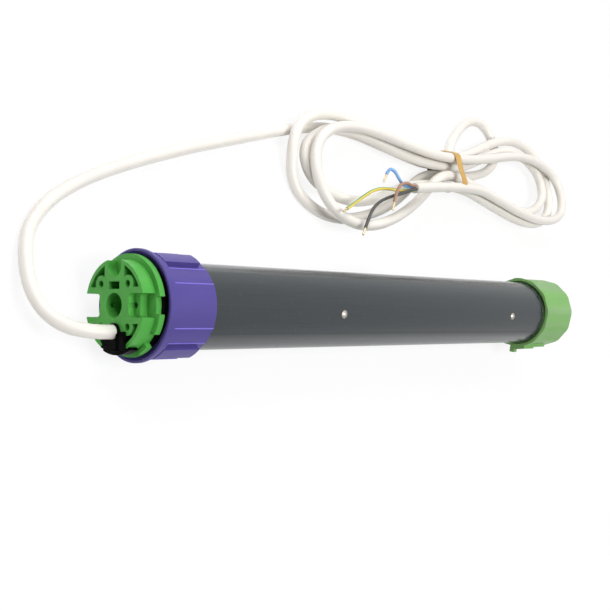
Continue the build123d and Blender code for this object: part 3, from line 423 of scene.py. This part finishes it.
def shade(colour, factor):
    return tuple(min(1.0, channel * factor) for channel in colour)


def mean_grey(colour):
    return (sum(colour) / 3,) * 3


def moulded_plastic(name, colour, roughness, streaks=0.0, specular=PLASTIC_SPECULAR):
    """Satin plastic: eroded grain, faint flow marks and fine scuffs, with worn streaks if asked."""
    finish = Finish(name)
    place = finish.place()
    flow = finish.noise(place * (0.35, 1.0, 1.0), 55.0, 4.0)
    clouds = finish.noise(place, 160.0, 3.0)
    grain_height = finish.noise(place, 2600.0, 2.0)
    scuffs = finish.noise(place * (0.35, 1.0, 1.0), 620.0, 5.0, 0.7).above(0.68, 0.12)
    tone = finish.mix(flow.above(0.5, 0.5), shade(colour, 0.9), shade(colour, 1.1))
    if streaks:
        worn = finish.noise(place * (0.03, 1.0, 1.0), 170.0, 3.0).above(0.54, 0.2)
        tone = finish.mix(worn * streaks, tone, shade(mean_grey(colour), 1.25))
    tone = finish.mix(scuffs * 0.07, tone, shade(mean_grey(colour), 1.6))
    rough = roughness + (clouds - 0.5) * 0.16 + scuffs * 0.12
    height = grain_height * 0.75 + scuffs * 0.25
    return finish.surface(
        base_color=tone,
        roughness=rough.clipped(),
        specular_ior_level=specular,
        normal=finish.bump(height, 0.22, 0.00006),
    )


def painted_tube(name, colour, coat):
    """Baked paint on drawn tube: orange peel, faint draw lines and a few fine rubs."""
    finish = Finish(name)
    place = finish.place()
    peel = finish.noise(place, 620.0, 2.0)
    drawn = finish.noise(place * (0.02, 1.0, 1.0), 1500.0, 3.0)
    rubs = finish.noise(place * (1.0, 0.2, 0.2), 700.0, 5.0, 0.65).above(0.66, 0.08)
    dust = finish.cells(place, 420.0)
    specks = (1.0 - dust.above(0.06, 0.03)) * finish.noise(place, 30.0).above(0.6, 0.1)
    tone = finish.mix(drawn.above(0.5, 0.4), shade(colour, 0.92), shade(colour, 1.08))
    tone = finish.mix(rubs * 0.05, tone, (0.4, 0.41, 0.42))
    tone = finish.mix(specks * 0.06, tone, (0.6, 0.6, 0.58))
    rough = 0.3 + (peel - 0.5) * 0.08 + rubs * 0.14 + specks * 0.2
    return finish.surface(
        base_color=tone,
        roughness=rough.clipped(),
        specular_ior_level=PAINT_SPECULAR,
        coat_weight=coat,
        coat_roughness=0.05,
        normal=finish.bump(peel * 0.7 + drawn * 0.3, 0.05, 0.00004),
    )


def turned_metal(name, colour, roughness, metallic=1.0, line_scale=1400.0):
    """Machined metal with turning marks round the axis and a little oil film."""
    finish = Finish(name)
    place = finish.place()
    marks = finish.noise(place * (1.0, 0.03, 0.03), line_scale, 3.0)
    oil = finish.noise(place, 120.0, 4.0)
    tone = finish.mix(marks.above(0.5, 0.6), shade(colour, 0.82), shade(colour, 1.1))
    tone = finish.mix(oil.above(0.58, 0.2) * 0.3, tone, shade(colour, 0.6))
    return finish.surface(
        base_color=tone,
        metallic=metallic,
        roughness=(roughness + (oil - 0.5) * 0.2).clipped(),
        normal=finish.bump(marks, 0.2, 0.00004),
    )


def cast_metal(name, colour, roughness):
    """Die-cast metal: mottled skin with shallow pits."""
    finish = Finish(name)
    place = finish.place()
    mottle = finish.noise(place, 260.0, 5.0, 0.6)
    pits = finish.cells(place, 900.0)
    tone = finish.mix(mottle.above(0.5, 0.4), shade(colour, 0.78), shade(colour, 1.12))
    return finish.surface(
        base_color=tone,
        metallic=0.85,
        roughness=(roughness + (mottle - 0.5) * 0.25).clipped(),
        normal=finish.bump(mottle * 0.6 + pits * 0.4, 0.35, 0.0001),
    )


def stacked_steel(name, colour, sheet_thickness):
    """Stack of punched sheets, seen as fine lines across the axis."""
    finish = Finish(name)
    place = finish.place()
    along = finish.parts(place)[0]
    lines = (along * (2 * math.pi / sheet_thickness)).wave()
    rust = finish.noise(place, 300.0, 4.0).above(0.62, 0.12)
    tone = finish.mix(lines, shade(colour, 0.55), shade(colour, 1.1))
    tone = finish.mix(rust * 0.35, tone, (0.2, 0.09, 0.04))
    return finish.surface(
        base_color=tone,
        metallic=0.9,
        roughness=(0.4 + rust * 0.3).clipped(),
        normal=finish.bump(lines, 0.5, 0.00008),
    )


def enamelled_winding(name, colour, wire_diameter):
    """Bundled enamelled wire: strands along the slots under varnish."""
    finish = Finish(name)
    place = finish.place()
    sway = finish.noise(place, 90.0) * 0.0012
    across = finish.parts(place)
    strands = ((across[1] + across[2] * 0.7 + sway) * (2 * math.pi / wire_diameter)).wave()
    tone = finish.mix(strands, shade(colour, 0.4), shade(colour, 1.15))
    return finish.surface(
        base_color=tone,
        metallic=0.7,
        roughness=(0.28 + strands * 0.1).clipped(),
        coat_weight=0.5,
        coat_roughness=0.15,
        normal=finish.bump(strands, 0.6, 0.0002),
    )


def cable_jacket(name, colour):
    """Soft PVC: slightly uneven, with faint handling marks and a dull skin."""
    finish = Finish(name)
    place = finish.place()
    uneven = finish.noise(place, 45.0, 3.0)
    skin = finish.noise(place, 1500.0, 2.0)
    marks = finish.noise(place, 210.0, 5.0, 0.65).above(0.66, 0.1)
    tone = finish.mix(uneven.above(0.5, 0.6), shade(colour, 0.96), shade(colour, 1.03))
    tone = finish.mix(marks * 0.14, tone, (0.36, 0.32, 0.26))
    return finish.surface(
        base_color=tone,
        roughness=(0.42 + (skin - 0.5) * 0.15 + marks * 0.15).clipped(),
        normal=finish.bump(skin * 0.4 + uneven * 0.6, 0.12, 0.00015),
    )


def core_insulation(name, colour, stripe=None):
    """Thin glossy insulation, with a stripe along it on the earth core."""
    finish = Finish(name)
    place = finish.place()
    uneven = finish.noise(place, 500.0, 3.0)
    tone = finish.mix(uneven.above(0.5, 0.5), shade(colour, 0.9), shade(colour, 1.08))
    if stripe:
        around = finish.parts(finish.place("UV"))[1]
        tone = finish.mix((around * (4 * math.pi)).wave().above(0.5, 0.08), tone, stripe)
    return finish.surface(
        base_color=tone,
        roughness=(0.34 + (uneven - 0.5) * 0.1).clipped(),
        normal=finish.bump(uneven, 0.12, 0.0001),
    )


def natural_rubber(name, colour):
    """Band of natural rubber: powdery, with fine stretch lines."""
    finish = Finish(name)
    place = finish.place()
    stretch = finish.noise(place * (1.0, 0.15, 0.15), 1400.0, 3.0)
    powder = finish.noise(place, 240.0, 4.0)
    tone = finish.mix(powder.above(0.5, 0.5), shade(colour, 0.86), shade(colour, 1.14))
    return finish.surface(
        base_color=tone,
        roughness=(0.62 + (powder - 0.5) * 0.2).clipped(),
        normal=finish.bump(stretch, 0.35, 0.0001),
    )


def twisted_copper(name, colour):
    """Bare stranded end of a core, tinned and twisted."""
    finish = Finish(name)
    place = finish.place()
    across = finish.parts(place)
    strands = ((across[0] * 0.5 + across[1] + across[2]) * (2 * math.pi / COPPER_STRAND)).wave()
    return finish.surface(
        base_color=finish.mix(strands, shade(colour, 0.6), shade(colour, 1.1)),
        metallic=0.8,
        roughness=(0.32 + strands * 0.1).clipped(),
        normal=finish.bump(strands, 0.5, 0.0001),
    )


def dress(nodes, material):
    """Give CAD nodes their finish."""
    for name in nodes:
        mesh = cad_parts[name].data
        mesh.materials.clear()
        mesh.materials.append(material)


def spaced(points, count):
    """Even steps along a closed outline."""
    lengths = [math.dist(a, b) for a, b in zip(points, points[1:] + points[:1])]
    total = sum(lengths)
    made = []
    index, passed = 0, 0.0
    for step in range(count):
        target = total * step / count
        while passed + lengths[index] < target:
            passed += lengths[index]
            index += 1
        share = (target - passed) / lengths[index] if lengths[index] else 0.0
        first, second = points[index], points[(index + 1) % len(points)]
        made.append(tuple(a + (b - a) * share for a, b in zip(first, second)))
    return made


def cord_piece(name, points, diameter, material):
    """Round cord as one open spline through its route."""
    curve = bpy.data.curves.new(name, "CURVE")
    curve.dimensions = "3D"
    curve.bevel_depth = diameter / 2
    curve.bevel_resolution = 6
    curve.use_fill_caps = True
    curve.resolution_u = 10
    spline = curve.splines.new("NURBS")
    spline.points.add(len(points) - 1)
    for point, place in zip(spline.points, points):
        point.co = (*place, 1.0)
    spline.order_u = 3
    spline.use_endpoint_u = True
    curve.materials.append(material)
    piece = bpy.data.objects.new(name, curve)
    bpy.context.scene.collection.objects.link(piece)
    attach(piece, "frame")
    return piece


def on_head(along, angle, radius):
    """Place on the head: angles start at its top and turn with it."""
    turn = math.radians(angle - HEAD_TURN)
    return Vector((along, radius * math.sin(turn), radius * math.cos(turn)))


def in_head(along, across, rise):
    """Place on the head from its own two directions."""
    return on_head(along, 0.0, across) + on_head(0.0, 90.0, rise)


def add_piece(name, shape, material, body):
    """Turn a bmesh into a piece that rides on a CAD body."""
    bmesh.ops.recalc_face_normals(shape, faces=shape.faces)
    mesh = bpy.data.meshes.new(name)
    shape.to_mesh(mesh)
    shape.free()
    mesh.materials.clear()
    mesh.materials.append(material)
    piece = bpy.data.objects.new(name, mesh)
    bpy.context.scene.collection.objects.link(piece)
    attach(piece, body)
    return piece


def add_bar(shape, ring, shift):
    """Closed bar between a ring of places and the same ring moved along."""
    first = [shape.verts.new(place) for place in ring]
    second = [shape.verts.new(place + shift) for place in ring]
    shape.faces.new(first)
    shape.faces.new(second)
    for a, b, c, d in zip(first, first[1:] + first[:1], second[1:] + second[:1], second):
        shape.faces.new((a, b, c, d))


# Settings


def colour_setting(name, description, default):
    return bpy.props.FloatVectorProperty(
        name=name,
        description=description,
        default=default,
        subtype="COLOR",
        size=3,
        min=0.0,
        max=1.0,
    )


class MotorColours(bpy.types.PropertyGroup):
    green: colour_setting("Green plastic", "Colour of the head moulding", (0.075, 0.35, 0.058))
    wheel: colour_setting("Drive wheel", "Colour of the drive wheel", (0.18, 0.38, 0.115))
    violet: colour_setting("Violet plastic", "Colour of the crown", (0.08, 0.061, 0.25))
    black: colour_setting("Black plastic", "Colour of the plug and the neck", (0.004, 0.004, 0.0042))
    white: colour_setting("White plastic", "Colour of the limit unit", (0.72, 0.71, 0.68))
    tube: colour_setting("Tube", "Colour of the tube's paint", (0.028, 0.034, 0.038))
    tube_gloss: bpy.props.FloatProperty(
        name="Tube gloss",
        description="How much clear coat the tube has",
        default=0.4,
        subtype="FACTOR",
        min=0.0,
        max=1.0,
    )


class CableSettings(bpy.types.PropertyGroup):
    diameter: bpy.props.FloatProperty(
        name="Cable diameter",
        description="Diameter of the cable's jacket",
        default=0.0075,
        subtype="DISTANCE",
        unit="LENGTH",
    )
    core_diameter: bpy.props.FloatProperty(
        name="Core diameter",
        description="Diameter of a core's insulation",
        default=0.0023,
        subtype="DISTANCE",
        unit="LENGTH",
    )
    jacket: colour_setting("Jacket", "Colour of the cable's jacket", (0.74, 0.71, 0.66))
    band: colour_setting("Band", "Colour of the rubber band", (0.5, 0.3, 0.085))


class StageSettings(bpy.types.PropertyGroup):
    floor: colour_setting("Floor", "Colour of the floor", (0.93, 0.93, 0.93))
    lens: bpy.props.FloatProperty(
        name="Lens",
        description="Focal length of the camera",
        default=61.4,
        subtype="DISTANCE_CAMERA",
        unit="CAMERA",
    )
    whiteness: bpy.props.FloatProperty(
        name="Floor whiteness",
        description="How far the floor's shadows are lifted to white",
        default=0.85,
        subtype="FACTOR",
    )
    fill: bpy.props.FloatProperty(
        name="Fill light",
        description="Strength of the light from all round",
        default=0.2,
        min=0.0,
    )
    key: bpy.props.FloatProperty(
        name="Key light",
        description="Power of the main lamp",
        default=16.5,
        subtype="POWER",
        unit="POWER",
    )


# Operators


class MOTOR_OT_head(bpy.types.Operator):
    """Finish the head and its plug"""

    bl_idname = "motor.head"
    bl_label = "Head"

    def execute(self, context):
        colours = context.scene.motor_colours
        dress(["head_housing"], moulded_plastic("head_plastic", tuple(colours.green), 0.36))
        plug = moulded_plastic("plug_plastic", tuple(colours.black), 0.34, specular=BLACK_SPECULAR)
        dress(["cable_plug", "plug_clip"], plug)
        self.add_latch(plug)
        self.add_strap(plug)
        adjuster = moulded_plastic("adjuster_plastic", shade(tuple(colours.green), 0.5), 0.5)
        dress([f"limit_adjuster_{side}" for side in ("up", "down")], adjuster)
        dress(["plug_contacts"], turned_metal("contact_brass", (0.7, 0.55, 0.25), 0.3))
        return {"FINISHED"}

    def add_latch(self, material):
        """Slotted tongue beside the cable."""
        shape = bmesh.new()
        (left, right), (low, high) = LATCH_ACROSS, LATCH_RISE
        front, back = LATCH_DEPTH
        outline = [(left, low), (right, low), (right, high), (left, high)]
        ring = [in_head(back, across, rise) for across, rise in outline]
        add_bar(shape, ring, Vector((front - back, 0.0, 0.0)))
        shape.faces.ensure_lookup_table()
        face = min(shape.faces, key=lambda f: f.calc_center_median().x)
        bmesh.ops.inset_region(shape, faces=[face], thickness=LATCH_WALL)
        bmesh.ops.translate(shape, verts=face.verts, vec=((back - front) * 0.75, 0.0, 0.0))
        piece = add_piece("plug_latch", shape, material, "frame")
        self.round_edges(piece, 0.0003)

    def add_strap(self, material):
        """The clip's strap, ending where it does on the head."""
        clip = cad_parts["plug_clip"]
        shape = bmesh.new()
        shape.from_mesh(clip.data)
        shape.transform(clip.matrix_world)
        for angle, side in zip(CLIP_ENDS, (-1.0, 1.0)):
            cut = bmesh.ops.bisect_plane(
                shape,
                geom=shape.verts[:] + shape.edges[:] + shape.faces[:],
                dist=0.000001,
                plane_co=(0.0, 0.0, 0.0),
                plane_no=on_head(0.0, angle + 90.0, side),
                clear_outer=True,
            )
            edges = [part for part in cut["geom_cut"] if isinstance(part, bmesh.types.BMEdge)]
            bmesh.ops.holes_fill(shape, edges=edges, sides=0)
        piece = add_piece("clip_strap", shape, material, "frame")
        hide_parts("plug_clip")

    def round_edges(self, piece, width):
        bevel = piece.modifiers.new("edges", "BEVEL")
        bevel.width = width
        bevel.segments = 2
        bevel.limit_method = "ANGLE"


class MOTOR_OT_housing(bpy.types.Operator):
    """Finish the tube, its rivets, the neck, the crown and the drive wheel"""

    bl_idname = "motor.housing"
    bl_label = "Tube, crown and wheel"

    def execute(self, context):
        colours = context.scene.motor_colours
        dress(["motor_tube"], painted_tube("tube_paint", tuple(colours.tube), colours.tube_gloss))
        dress(["tube_rivets", "wheel_clip"], turned_metal("rivet_steel", (0.4, 0.37, 0.33), 0.4))
        black = shade(tuple(colours.black), 0.9)
        neck = moulded_plastic("neck_plastic", black, 0.42, specular=BLACK_SPECULAR)
        dress(["neck_sleeve"], neck)
        dress(["crown"], moulded_plastic("crown_plastic", tuple(colours.violet), 0.38))
        # The ridges are coloured 2.4 times lighter than the crown, a painted highlight along the
        # edges of the crown's pads and grooves
        self.add_ridges(moulded_plastic("ridge_painted_highlight_plastic", shade(tuple(colours.violet), 2.4), 0.3))
        wheel = moulded_plastic("wheel_plastic", tuple(colours.wheel), 0.4, streaks=0.25)
        dress(["drive_wheel"], wheel)
        dress(["end_flange", "output_bearing"], cast_metal("flange_zinc", (0.13, 0.14, 0.13), 0.55))
        return {"FINISHED"}

    def add_ridges(self, material):
        """Fine ridges along the edges of the crown's pads and grooves."""
        shape = bmesh.new()
        for lobe in (0.0, 120.0, 240.0):
            for radius, offset, start, end in CROWN_RIDGES:
                for angle in (lobe - offset, lobe + offset):
                    half = math.degrees(RIDGE_HALF_WIDTH / radius)
                    ring = [
                        on_head(start, angle + turn * half, radius + lift * RIDGE_HEIGHT)
                        for turn, lift in RIDGE_SECTION
                    ]
                    add_bar(shape, ring, Vector((end - start, 0.0, 0.0)))
        add_piece("crown_ridges", shape, material, "crown")


class MOTOR_OT_mechanism(bpy.types.Operator):
    """Finish the limit unit, the motor, the brake and the gearbox in the tube"""

    bl_idname = "motor.mechanism"
    bl_label = "Mechanism"

    def execute(self, context):
        colours = context.scene.motor_colours
        sides = ("up", "down")
        white = moulded_plastic("limit_plastic", tuple(colours.white), 0.45)
        dark = moulded_plastic("inner_black_plastic", tuple(colours.black), 0.5)
        steel = turned_metal("machined_steel", (0.55, 0.55, 0.56), 0.3)
        zinc = cast_metal("gearbox_zinc", (0.42, 0.42, 0.43), 0.42)
        shield = cast_metal("shield_aluminium", (0.7, 0.7, 0.72), 0.4)
        stack = stacked_steel("stacked_steel", (0.32, 0.32, 0.33), 0.001)
        whites = ["limit_frame", "limit_layshaft"]
        whites += [f"{name}_{side}" for name in ("limit_nut", "switch_plunger") for side in sides]
        whites += [f"planet_{stage}_{index}" for stage in (1, 2) for index in (1, 2, 3)]
        dress(whites, white)
        dress(["capacitor_holder", "brake_disc"] + [f"limit_switch_{side}" for side in sides], dark)
        steels = ["limit_pinion", "rotor_bearings", "rotor_shaft", "output_shaft"]
        steels += ["brake_magnet", "brake_spring", "brake_armature"]
        steels += ["stage_1_carrier", "stage_2_carrier"]
        steels += [f"limit_spindle_{side}" for side in sides]
        steels += [f"planet_3_{index}" for index in (1, 2, 3)]
        dress(steels, steel)
        dress(["ring_gear"], zinc)
        dress(["front_shield", "rear_shield", "gearbox_cover"], shield)
        dress(["capacitor"], turned_metal("capacitor_can", (0.74, 0.74, 0.76), 0.28))
        dress(["stator_core", "rotor_core"], stack)
        dress(["windings"], enamelled_winding("enamelled_winding", (0.62, 0.24, 0.09), 0.0006))
        return {"FINISHED"}


class MOTOR_OT_cable(bpy.types.Operator):
    """Lay the mains cable and its hank"""

    bl_idname = "motor.cable"
    bl_label = "Cable"

    def execute(self, context):
        cable = context.scene.motor_cable
        jacket = cable_jacket("cable_jacket", tuple(cable.jacket))
        piece = cord_piece("mains_lead", FREE_RUN + HANK, cable.diameter, jacket)
        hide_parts("mains_cable", "cable_hank")
        return {"FINISHED"}


class MOTOR_OT_cores(bpy.types.Operator):
    """Spread the four cores that leave the jacket's end"""

    bl_idname = "motor.cores"
    bl_label = "Cable cores"

    def execute(self, context):
        diameter = context.scene.motor_cable.core_diameter
        looks = {
            "earth": ((0.11, 0.33, 0.09), (0.68, 0.52, 0.08), "green_core", 0.078),
            "black": ((0.045, 0.045, 0.043), None, "black_core", 0.069),
            "brown": ((0.36, 0.2, 0.14), None, "brown_core", 0.033),
            "blue": ((0.17, 0.36, 0.68), None, "blue_core", 0.032),
        }
        for name, (colour, stripe, slot, length) in looks.items():
            material = core_insulation(f"{name}_insulation", colour, stripe)
            piece = cord_piece(f"{name}_core", CORES[name], diameter, material)
            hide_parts(f"core_{name}")
        dress(["core_tips"], twisted_copper("core_tip_copper", (0.8, 0.66, 0.42)))
        return {"FINISHED"}


class MOTOR_OT_band(bpy.types.Operator):
    """Put the rubber band round the hank's waist"""

    bl_idname = "motor.band"
    bl_label = "Rubber band"

    def execute(self, context):
        mesh = bpy.data.meshes.new("hank_tie")
        shape = bmesh.new()
        rings = []
        outline = self.outline()
        for index, (side, height) in enumerate(outline):
            before, after = outline[index - 1], outline[(index + 1) % len(outline)]
            out = Vector((after[1] - before[1], before[0] - after[0])).normalized()
            turn = 2 * math.pi * index / len(outline)
            skew = 0.003 * math.sin(turn + 0.6) + 0.0009 * math.sin(3 * turn)
            width = BAND_HALF_WIDTH + 0.0007 * math.sin(2 * turn + 1.0)
            crease = 0.0003 * math.sin(5 * turn)
            ring = []
            for along, lift in BAND_SECTION:
                rise = (lift * BAND_THICKNESS + crease * (1.0 - abs(along))) if lift > 0 else 0.0
                place = (skew + along * width, side + out.x * rise, height + out.y * rise)
                ring.append(shape.verts.new(self.at_waist(place)))
            rings.append(ring)
        for ring, following in zip(rings, rings[1:] + rings[:1]):
            for k in range(len(ring)):
                after = (k + 1) % len(ring)
                shape.faces.new((ring[k], following[k], following[after], ring[after]))
        bmesh.ops.recalc_face_normals(shape, faces=shape.faces)
        for face in shape.faces:
            face.smooth = True
        shape.to_mesh(mesh)
        shape.free()
        mesh.materials.append(natural_rubber("band_rubber", tuple(context.scene.motor_cable.band)))
        piece = bpy.data.objects.new("hank_tie", mesh)
        context.scene.collection.objects.link(piece)
        rounder = piece.modifiers.new("rounder", "SUBSURF")
        rounder.levels = 1
        rounder.render_levels = 1
        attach(piece, "frame")
        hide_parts("hank_band")
        return {"FINISHED"}

    def outline(self):
        """Taut outline round the strands at the waist, as points at even turns."""
        points = []
        for step in range(360):
            turn = math.radians(step)
            way = (math.cos(turn), math.sin(turn))
            side, height = max(WAIST_STRANDS, key=lambda at: at[0] * way[0] + at[1] * way[1])
            points.append((side + way[0] * WAIST_CLEAR, height + way[1] * WAIST_CLEAR))
        return spaced(points, BAND_STEPS)

    def at_waist(self, place):
        along, side, height = place
        turn = math.radians(WAIST_TURN)
        x = WAIST_PLACE[0] + along * math.cos(turn) - side * math.sin(turn)
        y = WAIST_PLACE[1] + along * math.sin(turn) + side * math.cos(turn)
        return (x, y, height)


class MOTOR_OT_stage(bpy.types.Operator):
    """Set the floor, the lamps, the background and the camera"""

    bl_idname = "motor.stage"
    bl_label = "Stage"

    def execute(self, context):
        scene = context.scene
        stage = scene.motor_stage
        scene.view_settings.view_transform = "Standard"
        self.make_floor(scene, stage)
        self.make_world(scene, stage)
        for name, (place, length, width, share) in LAMPS.items():
            self.make_lamp(scene, name, place, length, width, stage.key * share)
        self.make_camera(scene, stage)
        return {"FINISHED"}

    def make_floor(self, scene, stage):
        mesh = bpy.data.meshes.new("floor")
        shape = bmesh.new()
        bmesh.ops.create_grid(shape, x_segments=2, y_segments=2, size=6.0)
        shape.to_mesh(mesh)
        shape.free()
        floor = bpy.data.objects.new("floor", mesh)
        floor.location = (0.0, 0.0, FLOOR_HEIGHT)
        scene.collection.objects.link(floor)
        finish = Finish("floor_paper")
        fibres = finish.noise(finish.place(), 900.0, 3.0)
        paper = finish.mix(fibres, shade(tuple(stage.floor), 0.995), tuple(stage.floor))
        mesh.materials.append(finish.surface(base_color=paper, roughness=0.9))
        seen = finish.node("ShaderNodeLightPath", {}, {}, "Is Camera Ray")
        white = finish.node("ShaderNodeEmission", {}, {"Color": (1.0, 1.0, 1.0), "Strength": 1.0})
        length = {"operation": "LENGTH"}
        reach = finish.node("ShaderNodeVectorMath", length, {0: finish.place()}, "Value")
        far = reach.above(FLOOR_FADE, FLOOR_FADE)
        lifted = seen * (stage.whiteness + far * (1.0 - stage.whiteness))
        both = finish.node("ShaderNodeMixShader", {}, {0: lifted, 1: finish.plain, 2: white})
        finish.feed(finish.end.inputs[0], both)

    def make_world(self, scene, stage):
        world = bpy.data.worlds.new("studio")
        scene.world = world
        sky = Nodes(world)
        rays = [
            sky.node("ShaderNodeLightPath", {}, {}, f"Is {kind} Ray")
            for kind in ("Camera", "Glossy", "Transmission")
        ]
        shown = rays[0].combine("MAXIMUM", rays[0], rays[1])
        shown = shown.combine("MAXIMUM", shown, rays[2])
        strength = shown * (1.0 - stage.fill) + stage.fill
        white = {"Color": (1.0, 1.0, 1.0), "Strength": strength}
        sky.output("ShaderNodeOutputWorld", sky.node("ShaderNodeBackground", {}, white))

    def make_lamp(self, scene, name, place, length, width, power):
        light = bpy.data.lights.new(name, "AREA")
        light.shape = "RECTANGLE"
        light.size = length
        light.size_y = width
        light.energy = power
        lamp = bpy.data.objects.new(name, light)
        lamp.location = place
        aim = Vector(LAMP_AIM) - Vector(place)
        lamp.rotation_euler = aim.to_track_quat("-Z", "Y").to_euler()
        scene.collection.objects.link(lamp)

    def make_camera(self, scene, stage):
        camera = bpy.data.cameras.new("camera")
        camera.lens = stage.lens
        camera.sensor_width = CAMERA_SENSOR
        camera.clip_start = 0.01
        right = Vector(CAMERA_RIGHT)
        forward = Vector(CAMERA_FORWARD)
        right = (right - forward * right.dot(forward)).normalized()
        up = right.cross(forward)
        turn = Matrix((right, up, -forward.normalized())).transposed()
        viewer = bpy.data.objects.new("camera", camera)
        viewer.matrix_world = Matrix.Translation(CAMERA_PLACE) @ turn.to_4x4()
        scene.collection.objects.link(viewer)
        scene.camera = viewer


class MOTOR_PT_panel(bpy.types.Panel):
    """Lists the steps that finish the motor"""

    bl_idname = "MOTOR_PT_panel"
    bl_label = "Blind Motor"
    bl_space_type = "VIEW_3D"
    bl_region_type = "UI"
    bl_category = "Blind Motor"

    def draw(self, context):
        for group in SETTINGS:
            settings = getattr(context.scene, group)
            for name in settings.__annotations__:
                self.layout.prop(settings, name)
        for step in STEPS:
            self.layout.operator(step.bl_idname)


STEPS = (
    MOTOR_OT_stage,
    MOTOR_OT_cable,
    MOTOR_OT_cores,
    MOTOR_OT_band,
    MOTOR_OT_head,
    MOTOR_OT_housing,
    MOTOR_OT_mechanism,
)
SETTINGS = {
    "motor_colours": MotorColours,
    "motor_cable": CableSettings,
    "motor_stage": StageSettings,
}


def register():
    for kind in (*SETTINGS.values(), *STEPS, MOTOR_PT_panel):
        bpy.utils.register_class(kind)
    for name, kind in SETTINGS.items():
        setattr(bpy.types.Scene, name, bpy.props.PointerProperty(type=kind))


def unregister():
    for name in SETTINGS:
        delattr(bpy.types.Scene, name)
    for kind in reversed((*SETTINGS.values(), *STEPS, MOTOR_PT_panel)):
        bpy.utils.unregister_class(kind)


def main():
    register()
    for step in STEPS:
        group, name = step.bl_idname.split(".")
        getattr(getattr(bpy.ops, group), name)()


if __name__ == "__main__":
    main()
